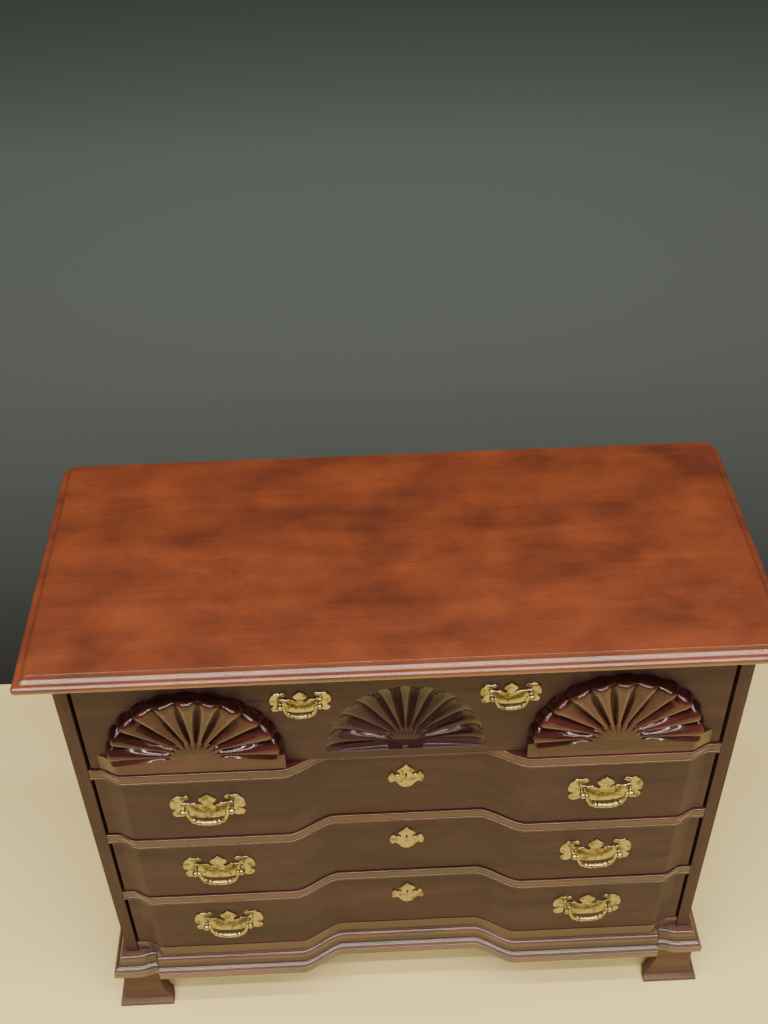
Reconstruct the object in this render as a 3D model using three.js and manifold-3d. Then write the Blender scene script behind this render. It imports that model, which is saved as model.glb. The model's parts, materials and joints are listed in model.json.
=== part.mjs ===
// Block front chest of four drawers with carved shells, in millimetres.
// +Z is up and the front faces -Y. The origin is on the floor, under the middle of the top.
import * as THREE from "three";
import { mergeVertices, toCreasedNormals } from "three/addons/utils/BufferGeometryUtils.js";
import Module from "manifold-3d";

const wasm = await Module();
wasm.setup();

// Whole chest
const topWidth = 1016;
const topDepth = 444;
const overallHeight = 846;
const endOverhang = 38;
const frontOverhang = 39;
const backOverhang = 12;
const topThickness = 21;
const topRailHeight = 22;
const sideThickness = 19;
const footHeight = 88;

// Fits: the gap at a seat, and how far a cut runs past what it cuts
const seat = 0.3;
const overrun = 5;

// Moulded edge of the top, from its nose inwards
const noseHeight = 12;
const noseRounding = 1.5;
const topMouldingWidth = 17;
const topFillet = 1.5;
const topCornerRadius = 5;
const coveSteps = 5;

// Front line of the drawers: where its recess, blocks and margins end, as shares of the way from the
// middle to a side, and how far it lies forward of the front edges of the sides
const recessShare = 0.248;
const blockInnerShare = 0.39;
const blockOuterShare = 0.898;
const marginInnerShare = 0.96;
const blockRise = 11;
const recessFall = 19;
const marginFall = 2;
const frontLineSteps = 5;
const ogeeShare = 0.6;

// Heights of the drawer openings, as shares of the room for drawers. The upper one has the rest.
const lowestShare = 0.223;
const lowerShare = 0.2265;
const middleShare = 0.2315;

// Dividers and the inside of the case
const dividerThickness = 21;
const baseRailHeight = 24;
const dividerProud = 3;
const beadHeight = 4.5;
const beadRelief = 1.6;
const bladeDepth = 62;
const runnerWidth = 50;
const runnerThickness = 19;
const guideHeight = 12;
const bottomBoardThickness = 16;
const backPanelThickness = 6;
const backRabbetWidth = 10;

// Base moulding
const mouldingHeight = 45;
const mouldingReach = 18;
const cornerRise = 6;
const mouldingCornerWidth = 42;
const mouldingCoveWidth = 15;
const mouldingBack = 45;

// Bracket feet
const footThickness = 20;
const footNeckLength = 60;
const footToeLength = 91;
const footNeckReach = 14;
const footToeReach = 27;
const toeHeight = 10;
const footCurveHeight = 60;
const footSteps = 4;

// Drawers
const drawerSideGap = 4;
const drawerGap = 2;
const frontBack = 36;
const drawerSideThickness = 12;
const drawerBackThickness = 12;
const drawerRearClearance = 15;
const drawerSideDrop = 12;
const drawerBackDrop = 20;
const drawerBottomThickness = 6;
const drawerBottomHeight = 12;
const grooveDepth = 5;
const dovetailLength = 14;
const dovetailPitch = 30;
const dovetailWidth = 20;
const dovetailFlare = 3;
const fewestDovetails = 2;

// Carved shells. Their widths are shares of the way from the middle to a side, and their rises are
// shares of the upper opening's height.
const shellLobes = 11;
const lobeSteps = 4;
const scallopShare = 0.06;
const plinthHeight = 30;
const shellCentreShare = 0.654;
const shell = {
  widthShare: 0.277,
  riseShare: 0.683,
  crest: 17,
  rim: 4,
  start: 7,
  boss: 13,
  bossRadius: 33,
  rib: 6,
};
const hollow = {
  widthShare: 0.253,
  riseShare: 0.64,
  floor: 19,
  rim: 1,
  boss: 12,
  bossRadius: 28,
  rib: 3.5,
};
const crestShare = 0.92;
const bossRowShares = [0.6, 0.9, 1];
const bodyRowShares = [0.1, 0.4, 0.72, 1];

// Bail pulls: the plate, its posts and the bail. The stand is from the wood to the pivot.
const largePull = { width: 110, crest: 26.5, boring: 70, plate: 1.8, stand: 13, ball: 5.2, neck: 3.2 };
const smallPull = { width: 84, crest: 20.2, boring: 53.5, plate: 1.6, stand: 11, ball: 4.4, neck: 2.7 };
const largeBail = { inset: 3.4, drop: 27.5, radius: 2.3, swell: 1.4 };
const smallBail = { inset: 2.2, drop: 21, radius: 2, swell: 1.2 };
const postFoot = 1.5;
const ballTurnShares = [0.4, 0.6, 0.8];
const pinRadius = 1.5;
const pinReach = 3;
const pinClearance = 0.4;
const bailSteps = 4;
const bailBeads = 3;
const bailAngle = Math.PI / 3;
const beadedShare = 0.55;
const postSides = 7;
const boreSides = 6;
const bailSides = 5;

// How square the bail's curve is: at 1 it is an ellipse
const bailRoundShare = 0.7;

// Places of the pulls, as shares of the way from the middle to a side and of the opening's height
const largePullPlace = { acrossShare: 0.641, upShare: 0.605 };
const smallPullPlace = { acrossShare: 0.317, upShare: 0.7 };

// Escutcheons, and how far up the opening they are
const escutcheon = { width: 54, crest: 28.5, plate: 1.8, upShare: 0.665 };
const keyRadius = 1.9;
const keySlot = 2.2;
const keyDrop = 7;
const keyRise = 6;
const keyholeDepth = 12;
const keySides = 10;

// Sizes that follow
const frontPlane = -topDepth / 2 + frontOverhang;
const rearPlane = topDepth / 2 - backOverhang;
const caseHalf = topWidth / 2 - endOverhang;
const insideHalf = caseHalf - sideThickness;
const railHalf = insideHalf - seat;
const topUnderside = overallHeight - topThickness;
const baseRailTop = footHeight + mouldingHeight + baseRailHeight;
const panelFront = rearPlane - backPanelThickness - seat;
const frameRear = panelFront - seat;
const drawerHalf = insideHalf - drawerSideGap;
const recessHalf = insideHalf * recessShare;
const blockInnerHalf = insideHalf * blockInnerShare;
const blockOuterHalf = insideHalf * blockOuterShare;
const marginInnerHalf = insideHalf * marginInnerShare;
const shellCentre = insideHalf * shellCentreShare;
const shellHalf = insideHalf * shell.widthShare;
const hollowHalf = insideHalf * hollow.widthShare;

// A place forward of the sides' front edges, as a y value
const ahead = (forward) => frontPlane - forward;
const frameFront = ahead(-bladeDepth - seat);
const frontRear = ahead(-frontBack);
const drawerRear = panelFront - drawerRearClearance;

const topRailUnderside = topUnderside - topRailHeight;
const drawerRoom = topRailUnderside - baseRailTop - 3 * dividerThickness;
const lowest = { bottom: baseRailTop, height: drawerRoom * lowestShare };
const above = (opening, height) => ({ bottom: opening.bottom + opening.height + dividerThickness, height });
const lower = above(lowest, drawerRoom * lowerShare);
const middle = above(lower, drawerRoom * middleShare);
const upper = above(middle, drawerRoom - lowest.height - lower.height - middle.height);
const shellRise = upper.height * shell.riseShare;
const hollowRise = upper.height * hollow.riseShare;

// Finishes
const mahogany = new THREE.MeshStandardMaterial({ color: "#5f3a28", roughness: 0.35 });
const topMahogany = new THREE.MeshStandardMaterial({ color: "#8f4524", roughness: 0.2 });
const shellMahogany = new THREE.MeshStandardMaterial({ color: "#3f1d12", roughness: 0.18 });
const poplar = new THREE.MeshStandardMaterial({ color: "#b99a68", roughness: 0.7 });
const brass = new THREE.MeshStandardMaterial({ color: "#c8aa50", roughness: 0.28, metalness: 1 });

// A closed geometry as a solid for joining and cutting
function solid(geometry) {
  const bare = geometry.clone();
  bare.deleteAttribute("normal");
  bare.deleteAttribute("uv");
  const merged = mergeVertices(bare);
  return new wasm.Manifold(
    new wasm.Mesh({
      numProp: 3,
      vertProperties: new Float32Array(merged.attributes.position.array),
      triVerts: new Uint32Array(merged.index.array),
    }),
  );
}

const creaseAngle = Math.PI / 6;

function piece(name, shape, material) {
  const { vertProperties, triVerts } = shape.getMesh();
  const geometry = new THREE.BufferGeometry();
  geometry.setAttribute("position", new THREE.BufferAttribute(vertProperties, 3));
  geometry.setIndex(new THREE.BufferAttribute(triVerts, 1));
  const mesh = new THREE.Mesh(toCreasedNormals(geometry, creaseAngle), material.clone());
  mesh.name = name;
  return mesh;
}

function box(x0, x1, y0, y1, z0, z1) {
  const block = new THREE.BoxGeometry(x1 - x0, y1 - y0, z1 - z0);
  return solid(block.translate((x0 + x1) / 2, (y0 + y1) / 2, (z0 + z1) / 2));
}

// An outline run along an axis. Its points are (y, z) along x, (x, z) along y and (x, y) along z.
const turns = {
  x: new THREE.Matrix4().makeBasis(
    new THREE.Vector3(0, 1, 0),
    new THREE.Vector3(0, 0, 1),
    new THREE.Vector3(1, 0, 0),
  ),
  y: new THREE.Matrix4().makeRotationX(Math.PI / 2),
  z: new THREE.Matrix4(),
};

function run(axis, outline, from, to) {
  const shape = new THREE.Shape(outline.map(([u, v]) => new THREE.Vector2(u, v)));
  const prism = new THREE.ExtrudeGeometry(shape, { depth: to - from, bevelEnabled: false });
  prism.translate(0, 0, axis === "y" ? -to : from);
  return solid(prism.applyMatrix4(turns[axis]));
}

function meshFrom(points, faces) {
  const geometry = new THREE.BufferGeometry();
  geometry.setAttribute("position", new THREE.Float32BufferAttribute(points.flatMap((p) => p.toArray()), 3));
  geometry.setIndex(faces.flat());
  return geometry;
}

// The triangles that fill a flat loop of points, turned to face a given way
function fill(points, loop, facing) {
  const area = new THREE.Vector3();
  loop.forEach((a, i) => area.add(points[a].clone().cross(points[loop[(i + 1) % loop.length]])));
  const widths = area.toArray().map(Math.abs);
  const drop = widths.indexOf(Math.max(...widths));
  const flat = loop.map((a) => new THREE.Vector2(...points[a].toArray().filter((_, k) => k !== drop)));
  const faces = THREE.ShapeUtils.triangulateShape(flat, []).map((face) => face.map((k) => loop[k]));
  const normal = new THREE.Triangle(...faces[0].map((k) => points[k])).getNormal(new THREE.Vector3());
  return normal.dot(facing) < 0 ? faces.map((face) => face.reverse()) : faces;
}

// A closed solid through rings of equal length, from one end to the other
function loft(rings) {
  const count = rings[0].length;
  const middleOf = (ring) => ring.reduce((sum, p) => sum.add(p), new THREE.Vector3()).divideScalar(count);
  const start = middleOf(rings[1]).sub(middleOf(rings[0]));
  const end = middleOf(rings.at(-1)).sub(middleOf(rings.at(-2)));
  const spin = new THREE.Vector3();
  rings[0].forEach((p, i) => spin.add(p.clone().cross(rings[0][(i + 1) % count])));
  const points = (spin.dot(start) < 0 ? rings.map((ring) => [...ring].reverse()) : rings).flat();
  const faces = [];
  for (let a = 0; a + count < points.length; a++) {
    const b = (a + 1) % count ? a + 1 : a + 1 - count;
    faces.push([a, b, b + count], [a, b + count, a + count]);
  }
  const first = [...Array(count).keys()];
  const last = first.map((k) => points.length - count + k);
  faces.push(...fill(points, first, start.negate()), ...fill(points, last, end));
  return solid(meshFrom(points, faces));
}

const ringAt = (z, outline) => outline.map(([x, y]) => new THREE.Vector3(x, y, z));

// A surface closed by a wall along its free edge and a flat face at the given y
function backed(points, faces, level) {
  const edges = new Set(faces.flatMap(([a, b, c]) => [a + " " + b, b + " " + c, c + " " + a]));
  const next = new Map();
  for (const edge of edges) {
    const [a, b] = edge.split(" ").map(Number);
    if (!edges.has(b + " " + a)) next.set(a, b);
  }
  const loop = [next.keys().next().value];
  while (loop.length < next.size) loop.push(next.get(loop.at(-1)));
  const flat = loop.map((k) => points.push(new THREE.Vector3(points[k].x, level, points[k].z)) - 1);
  const wall = loop.flatMap((a, i) => {
    const j = (i + 1) % loop.length;
    return [[loop[j], a, flat[i]], [loop[j], flat[i], flat[j]]];
  });
  const facing = new THREE.Vector3(0, level - points[loop[0]].y, 0);
  return solid(meshFrom(points, [...faces, ...wall, ...fill(points, flat, facing)]));
}

// The whole outline whose right half runs outwards from the middle
const mirrored = (half) => [...[...half].reverse().map(([x, y]) => [-x, y]), ...half];

// The same for both sides of a piece that is made for the right and mirrored for the left
function pair(parent, name, shape, material) {
  for (const [hand, side] of [["left", -1], ["right", 1]]) {
    const mesh = piece(name + "_" + hand, shape, material);
    mesh.scale.x = side;
    parent.add(mesh);
  }
}

// Front line of the blocked front, from the recess in the middle out to the block and the margin
const ogee = (t) => (1 - ogeeShare) * t + ogeeShare * t * t * (3 - 2 * t);

function bend(x0, x1, forward0, forward1) {
  return Array.from({ length: frontLineSteps + 1 }, (_, i) => {
    const t = i / frontLineSteps;
    return [x0 + (x1 - x0) * t, ahead(forward0 + (forward1 - forward0) * ogee(t))];
  });
}
const recessBend = (proud) =>
  bend(recessHalf, blockInnerHalf, proud - recessFall, proud + blockRise);
const marginBend = (proud) =>
  bend(blockOuterHalf, marginInnerHalf, proud + blockRise, proud - marginFall);

// Plan of a piece with the blocked front line and a straight back
function blockedPlan(proud, outer, back) {
  const half = [...recessBend(proud), ...marginBend(proud), [outer, ahead(proud - marginFall)]];
  return [...mirrored(half), [outer, back], [-outer, back]];
}

const chest = new THREE.Group();

// Top board, moulded along the front and both ends and plain behind
function topBoard() {
  const inner = topMouldingWidth - topFillet;
  const coveStart = noseRounding + topFillet;
  const coveHeight = topThickness - noseHeight - topFillet;
  const profile = [
    [noseRounding, 0],
    [0, noseRounding],
    [0, noseHeight - noseRounding],
    [noseRounding, noseHeight],
  ];
  for (let i = 0; i <= coveSteps; i++) {
    const angle = ((i / coveSteps) * Math.PI) / 2;
    profile.push([
      coveStart + (inner - coveStart) * Math.sin(angle),
      noseHeight + coveHeight * (1 - Math.cos(angle)),
    ]);
  }
  profile.push([topMouldingWidth, topThickness - topFillet], [topMouldingWidth, topThickness]);
  const plan = (inset) => {
    const end = topWidth / 2 - inset;
    const corner = [0, 0.5, 1].map((t) => [
      end - topCornerRadius * (1 - Math.sin((t * Math.PI) / 2)),
      topDepth / 2 - topCornerRadius * (1 - Math.cos((t * Math.PI) / 2)),
    ]);
    return mirrored([...corner, [end, inset - topDepth / 2]]);
  };
  return loft(profile.map(([inset, height]) => ringAt(topUnderside + height, plan(inset))));
}
chest.add(piece("top_board", topBoard(), topMahogany));

// Sides, rabbeted at the rear for the back panel
const sidePlan = [
  [insideHalf, frontPlane],
  [caseHalf, frontPlane],
  [caseHalf, rearPlane],
  [insideHalf + backRabbetWidth, rearPlane],
  [insideHalf + backRabbetWidth, panelFront],
  [insideHalf, panelFront],
];
pair(chest, "case_side", run("z", sidePlan, footHeight, topUnderside - seat), mahogany);

const panelHalf = insideHalf + backRabbetWidth - seat;
chest.add(
  piece(
    "back_panel",
    box(-panelHalf, panelHalf, panelFront + seat, rearPlane, footHeight, topUnderside - seat),
    poplar,
  ),
);

// Dividers between the drawers, beaded along both edges, and the rail under the top
function divider(top) {
  const bottom = top - dividerThickness;
  const bead = [
    [0, beadRelief],
    [beadHeight / 2, 0],
    [beadHeight, beadRelief],
  ];
  const levels = [
    ...bead.map(([height, relief]) => [bottom + height, relief]),
    ...bead.map(([height, relief]) => [top - height, relief]).reverse(),
  ];
  const plan = (relief) => blockedPlan(dividerProud - relief, railHalf, ahead(-bladeDepth));
  return loft(levels.map(([z, relief]) => ringAt(z, plan(relief))));
}

const topRail = box(
  -railHalf,
  railHalf,
  ahead(dividerProud - marginFall),
  ahead(-bladeDepth),
  topRailUnderside,
  topUnderside - seat,
);
chest.add(piece("top_rail", topRail, mahogany));

// Runner frames behind the dividers, with a strip at each end that guides the drawer
function guides(level) {
  const inner = drawerHalf + seat;
  const strip = (x0, x1) => box(x0, x1, frameFront, frameRear, level - overrun, level + guideHeight);
  return strip(inner, railHalf).add(strip(-railHalf, -inner));
}

function runnerFrame(level) {
  const inner = railHalf - runnerWidth;
  const plan = mirrored([
    [inner, frameRear - runnerWidth],
    [inner, frameFront],
    [railHalf, frameFront],
    [railHalf, frameRear],
  ]);
  return run("z", plan, level - runnerThickness, level).add(guides(level));
}
for (const [place, opening] of Object.entries({ lower, middle, upper })) {
  chest.add(piece("divider_" + place, divider(opening.bottom), mahogany));
  chest.add(piece("runner_frame_" + place, runnerFrame(opening.bottom), poplar));
}

const bottomBoard = box(
  -railHalf,
  railHalf,
  ahead(-mouldingBack - seat),
  frameRear,
  lowest.bottom - bottomBoardThickness,
  lowest.bottom,
);
chest.add(piece("bottom_board", bottomBoard.add(guides(lowest.bottom)), poplar));

// Base moulding, as shares of its reach and height from the top edge down
const mouldingShares = [
  [0.1, 1],
  [0.12, 0.74],
  [0.2, 0.62],
  [0.36, 0.54],
  [0.4, 0.51],
  [0.56, 0.47],
  [0.68, 0.42],
  [0.7, 0.35],
  [0.76, 0.34],
  [0.96, 0.33],
  [1, 0.3],
  [1, 0.03],
  [0.94, 0],
];
const mouldingLevels = mouldingShares.map(([reach, height]) => ({
  reach: mouldingReach * reach,
  z: footHeight + mouldingHeight * height,
}));

function mouldingPlan(reach) {
  const half = recessBend(reach);
  const coveInner = caseHalf - mouldingCornerWidth;
  for (let i = 0; i <= frontLineSteps; i++) {
    const angle = ((i / frontLineSteps) * Math.PI) / 2;
    const forward = reach + blockRise - (blockRise - cornerRise) * Math.sin(angle);
    half.push([coveInner + mouldingCoveWidth * (1 - Math.cos(angle)), ahead(forward)]);
  }
  half.push([caseHalf + cornerRise + reach, ahead(cornerRise + reach)]);
  half.push([caseHalf + seat, ahead(seat)]);
  half.push([railHalf, ahead(seat)]);
  half.push([railHalf, ahead(-mouldingBack)]);
  return mirrored(half);
}
const frontMoulding = loft(mouldingLevels.map(({ reach, z }) => ringAt(z, mouldingPlan(reach))));
const baseRail = run(
  "z",
  blockedPlan(0, railHalf, ahead(-mouldingBack)),
  footHeight + mouldingHeight / 2,
  baseRailTop,
);
chest.add(piece("base_front", frontMoulding.add(baseRail), mahogany));

function sideMouldingPlan(reach) {
  const mitreGap = seat * Math.SQRT2;
  return [
    [caseHalf + seat, ahead(seat - mitreGap)],
    [caseHalf + cornerRise + reach, ahead(cornerRise + reach - mitreGap)],
    [caseHalf + cornerRise + reach, rearPlane],
    [caseHalf + seat, rearPlane],
  ];
}
const sideMoulding = loft(mouldingLevels.map(({ reach, z }) => ringAt(z, sideMouldingPlan(reach))));
pair(chest, "base_moulding", sideMoulding, mahogany);

// Bracket feet, flared at the floor and hollowed along their inner ends
const footLevels = [
  { z: 0, reach: footToeReach, length: footToeLength },
  { z: toeHeight / 5, reach: footToeReach, length: footToeLength },
];
for (let i = 0; i <= footSteps; i++) {
  const t = i / footSteps;
  const toe = (1 - t) ** 2;
  footLevels.push({
    z: toeHeight + (footCurveHeight - toeHeight) * t,
    reach: footNeckReach + ((footToeReach - footNeckReach) * toe) / 3,
    length: footNeckLength + ((footToeLength - footNeckLength) * toe * 2) / 3,
  });
}
footLevels.push({ z: footHeight - seat, reach: footNeckReach, length: footNeckLength });

function frontFootPlan({ reach, length }) {
  const outer = caseHalf + reach;
  const inner = outer - footThickness;
  const back = footThickness - reach;
  return [
    [outer, ahead(reach)],
    [outer, ahead(reach - length)],
    [inner, ahead(reach - length)],
    [inner, ahead(-back)],
    [outer - length, ahead(-back)],
    [outer - length, ahead(reach)],
  ];
}

function rearFootPlan({ reach, length }) {
  const outer = caseHalf + reach;
  const inner = outer - footThickness;
  return [
    [outer, rearPlane],
    [outer - length, rearPlane],
    [outer - length, rearPlane - footThickness],
    [inner, rearPlane - footThickness],
    [inner, rearPlane - length],
    [outer, rearPlane - length],
  ];
}
pair(chest, "front_foot", loft(footLevels.map((level) => ringAt(level.z, frontFootPlan(level)))), mahogany);
pair(chest, "rear_foot", loft(footLevels.map((level) => ringAt(level.z, rearFootPlan(level)))), mahogany);

// A fan of lobes over a base line, as a surface that faces forward. It is a grid of rows, which are
// shares of the way out from the middle, and columns from right to left. A skirt carries it below the line.
function fan(halfWidth, rise, rowShares, heightAt, skirt) {
  const points = [];
  const add = (x, z, forward) => points.push(new THREE.Vector3(x, -forward, z)) - 1;
  const columns = shellLobes * lobeSteps;
  const grid = rowShares.map((row) => {
    const at = (turn, drop) => {
      const lobe = Math.abs(Math.sin(shellLobes * turn * Math.PI));
      const out = row * (1 - scallopShare * row * (1 - lobe));
      const up = rise * out * Math.sin(Math.min(turn, 1 - turn) * Math.PI);
      return add(halfWidth * out * Math.cos(turn * Math.PI), drop || up, heightAt(row, lobe));
    };
    const line = Array.from({ length: columns + 1 }, (_, j) => at(j / columns));
    return skirt ? [at(0, -skirt), ...line, at(1, -skirt)] : line;
  });
  const centre = add(0, 0, heightAt(0, 0));
  const faces = [];
  grid[0].slice(1).forEach((b, j) => {
    if (!skirt || (j > 0 && j <= columns)) faces.push([centre, grid[0][j], b]);
    for (let i = 0; i + 1 < grid.length; i++) {
      const [near, far] = [grid[i], grid[i + 1]];
      faces.push([near[j], far[j], far[j + 1]], [near[j], far[j + 1], near[j + 1]]);
    }
  });
  if (skirt) {
    const low = add(0, -skirt, heightAt(0, 0));
    const [right, left] = [grid[0][0], grid[0].at(-1)];
    faces.push([centre, low, right], [centre, right, grid[0][1]]);
    faces.push([centre, grid[0].at(-2), left], [centre, left, low]);
  }
  return { points, faces };
}

// How far a dome of the given radius has risen at a distance from its middle, as a share of its height
const dome = (distance) => Math.sqrt(Math.max(0, 1 - distance * distance));

const fanRows = (boss) => {
  const inner = bossRowShares.map((t) => boss * t);
  const outer = bodyRowShares.map((t) => boss + (crestShare - boss) * t);
  return [...inner, ...outer, (1 + crestShare) / 2, 1];
};

// Applied shell on its plinth, which carries the block up into the top drawer
function appliedShell() {
  const boss = shell.bossRadius / shellRise;
  const heightAt = (row, lobe) => {
    if (row < boss) return shell.start + (shell.boss - shell.start) * dome(row / boss);
    if (row > crestShare) {
      const past = (row - crestShare) / (1 - crestShare);
      return shell.rim + (shell.crest - shell.rib * (1 - lobe) - shell.rim) * dome(past);
    }
    const t = (row - boss) / (crestShare - boss);
    const body = shell.start + (shell.crest - shell.start) * Math.sin((t * Math.PI) / 2);
    return body - shell.rib * (1 - lobe) * Math.sqrt(t);
  };
  const { points, faces } = fan(shellHalf, shellRise, fanRows(boss), heightAt, 0);
  const face = frontPlane + marginFall;
  const block = ([x, y]) => [x - shellCentre, y - face];
  const plinth = [
    [-shellHalf, 0],
    [-shellHalf, -blockRise - marginFall],
    ...marginBend(0).map(block),
  ];
  return backed(points, faces, 0).add(run("z", plinth, -plinthHeight, 0));
}

// The hollow that the middle shell is carved in, open to the drawer's lower edge
function shellHollow() {
  const boss = hollow.bossRadius / hollowRise;
  const depthAt = (row, lobe) => {
    const bowl = hollow.floor * Math.sqrt(1 - row ** 4);
    if (row < boss) return bowl - (hollow.floor - hollow.boss) * dome(row / boss);
    return Math.max(hollow.rim, bowl - hollow.rib * lobe * dome(row));
  };
  const heightAt = (row, lobe) => -depthAt(row, lobe);
  const { points, faces } = fan(hollowHalf, hollowRise, fanRows(boss), heightAt, plinthHeight + overrun);
  const turned = faces.map((face) => [...face].reverse());
  return backed(points, turned, -overrun);
}

// Half-blind dovetails at the front end of a drawer side, or their sockets with a clearance
function dovetails(height, clearance) {
  const count = Math.max(fewestDovetails, Math.round(height / dovetailPitch));
  const tails = Array.from({ length: count }, (_, k) => {
    const level = ((k + 0.5) * height) / count;
    const tip = dovetailWidth / 2 + clearance;
    const root = tip - dovetailFlare;
    const outline = [
      [frontRear + overrun, level - root],
      [frontRear, level - root],
      [frontRear - dovetailLength - clearance, level - tip],
      [frontRear - dovetailLength - clearance, level + tip],
      [frontRear, level + root],
      [frontRear + overrun, level + root],
    ];
    const past = clearance ? overrun : 0;
    return run("x", outline, drawerHalf - drawerSideThickness - clearance, drawerHalf + past);
  });
  return tails.reduce((all, tail) => all.add(tail));
}

const flip = (shape) => shape.mirror([1, 0, 0]);

// Drawer front: the groove and sockets of the drawer's sides and bottom are cut in its back
function drawerFront(height, face) {
  const sideHeight = height - drawerSideDrop - seat;
  const sockets = dovetails(sideHeight, seat).translate([0, 0, seat]);
  const groove = box(
    drawerSideThickness - drawerHalf,
    drawerHalf - drawerSideThickness,
    frontRear - grooveDepth,
    frontRear + overrun,
    drawerBottomHeight - seat,
    drawerBottomHeight + drawerBottomThickness + seat,
  );
  return face.subtract(sockets).subtract(flip(sockets)).subtract(groove);
}

function drawerSide(height) {
  const top = height - drawerSideDrop;
  const inner = drawerHalf - drawerSideThickness;
  const board = box(inner, drawerHalf, frontRear + seat, drawerRear, seat, top);
  const groove = box(
    inner - overrun,
    inner + grooveDepth,
    frontRear,
    drawerRear + overrun,
    drawerBottomHeight - seat,
    drawerBottomHeight + drawerBottomThickness + seat,
  );
  return board.add(dovetails(top - seat, 0).translate([0, 0, seat])).subtract(groove);
}

function drawerBack(height) {
  const half = drawerHalf - drawerSideThickness - seat;
  const bottom = drawerBottomHeight + drawerBottomThickness + seat;
  return box(-half, half, drawerRear - drawerBackThickness, drawerRear, bottom, height - drawerBackDrop);
}

function drawerBottom() {
  const inner = drawerHalf - drawerSideThickness - seat;
  const plan = mirrored([
    [inner, frontRear - grooveDepth + seat],
    [inner, frontRear + seat],
    [inner + grooveDepth, frontRear + seat],
    [inner + grooveDepth, drawerRear],
  ]);
  return run("z", plan, drawerBottomHeight, drawerBottomHeight + drawerBottomThickness);
}

// Pull plate outline, as shares of its half width and of its crest height, from the crest down
const plateShares = [
  [0, 1],
  [0.07, 0.83],
  [0.2, 0.53],
  [0.22, 0.38],
  [0.15, 0.11],
  [0.18, 0.02],
  [0.26, 0.08],
  [0.37, 0.23],
  [0.5, 0.15],
  [0.57, 0.21],
  [0.65, 0.25],
  [0.58, 0.46],
  [0.47, 0.72],
  [0.5, 0.85],
  [0.61, 0.74],
  [0.69, 0.66],
  [0.8, 0.77],
  [0.93, 0.47],
  [1, 0.04],
  [0.96, -0.23],
  [0.86, -0.32],
  [0.91, -0.49],
  [0.96, -0.72],
  [0.87, -0.98],
  [0.71, -0.91],
  [0.6, -0.76],
  [0.49, -0.87],
  [0.33, -1.06],
  [0, -1.13],
];

// Escutcheon outline, as shares in the same way
const escutcheonShares = [
  [0, 1],
  [0.15, 0.81],
  [0.41, 0.53],
  [0.48, 0.37],
  [0.33, 0.25],
  [0.41, 0.14],
  [0.6, 0.16],
  [0.72, 0.35],
  [0.91, 0.1],
  [1, -0.18],
  [0.87, -0.46],
  [0.63, -0.37],
  [0.44, -0.56],
  [0.3, -0.79],
  [0, -0.91],
];

// The whole outline from one half of it. Its first and last points lie on the middle line, so they
// aren't mirrored.
function plateOutline(shares, width, crest) {
  const half = shares.map(([x, z]) => [(x * width) / 2, z * crest]);
  return [...half, ...half.slice(1, -1).reverse().map(([x, z]) => [-x, z])];
}

// A turned post with a ball that the bail's pin passes through
function post({ plate, stand, ball, neck }) {
  const front = seat + plate;
  const profile = [
    [0, front - plate / 2],
    [ball, front - plate / 2],
    [neck, front + postFoot],
    [neck, stand - ball * Math.cos(Math.asin(neck / ball))],
  ];
  for (const turn of ballTurnShares) {
    profile.push([ball * Math.sin(turn * Math.PI), stand - ball * Math.cos(turn * Math.PI)]);
  }
  profile.push([0, stand + ball]);
  const turned = new THREE.LatheGeometry(
    profile.map(([r, forward]) => new THREE.Vector2(r, forward)),
    postSides,
  );
  const bore = new THREE.CylinderGeometry(
    pinRadius + pinClearance,
    pinRadius + pinClearance,
    ball * 2 + overrun,
    boreSides,
  );
  bore.rotateZ(Math.PI / 2).translate(0, -stand, 0);
  return solid(turned.rotateX(Math.PI)).subtract(solid(bore));
}

function pullPlate(pull) {
  const outline = plateOutline(plateShares, pull.width, pull.crest);
  const right = post(pull).translate([pull.boring / 2, 0, 0]);
  return run("y", outline, -seat - pull.plate, -seat).add(right).add(flip(right));
}

// A bail: pins turned outwards into the posts, and a rod that swells into beads at its lowest part
function bail(pull, { inset, drop, radius, swell }) {
  const shoulder = pull.boring / 2 - pull.ball - pinClearance;
  const halfWidth = shoulder - inset;
  const half = [
    { x: pull.boring / 2 + pinReach, z: 0, r: pinRadius },
    { x: shoulder, z: 0, r: pinRadius },
    { x: shoulder, z: 0, r: radius },
    { x: halfWidth, z: 0, r: radius },
  ];
  const curve = (angle) => [
    halfWidth * Math.cos(angle) ** bailRoundShare,
    -drop * Math.sin(angle) ** bailRoundShare,
  ];
  for (let i = 1; i <= bailSteps; i++) {
    const [x, z] = curve((i / (bailSteps + 1)) * bailAngle);
    half.push({ x, z, r: radius });
  }
  for (let i = 0; i < bailBeads * 2; i++) {
    const share = beadedShare * (1 - i / (bailBeads * 2));
    const [x, z] = curve(Math.acos(share ** (1 / bailRoundShare)));
    half.push({ x, z, r: radius + (i % 2 ? swell : 0) });
  }
  const otherHalf = [...half].reverse().map((p) => ({ ...p, x: -p.x }));
  const path = [...half, { x: 0, z: -drop, r: radius + swell }, ...otherHalf];
  return loft(
    path.map((p, i) => {
      const before = path[Math.max(0, i - 1)];
      const after = path[Math.min(path.length - 1, i + 1)];
      const along = new THREE.Vector3(after.x - before.x, 0, after.z - before.z).normalize();
      const across = new THREE.Vector3(-along.z, 0, along.x);
      return Array.from({ length: bailSides }, (_, k) => {
        const angle = ((k + 0.5) / bailSides) * Math.PI * 2;
        return new THREE.Vector3(p.x, 0, p.z)
          .addScaledVector(across, p.r * Math.cos(angle))
          .add(new THREE.Vector3(0, p.r * Math.sin(angle), 0));
      });
    }),
  );
}

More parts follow.
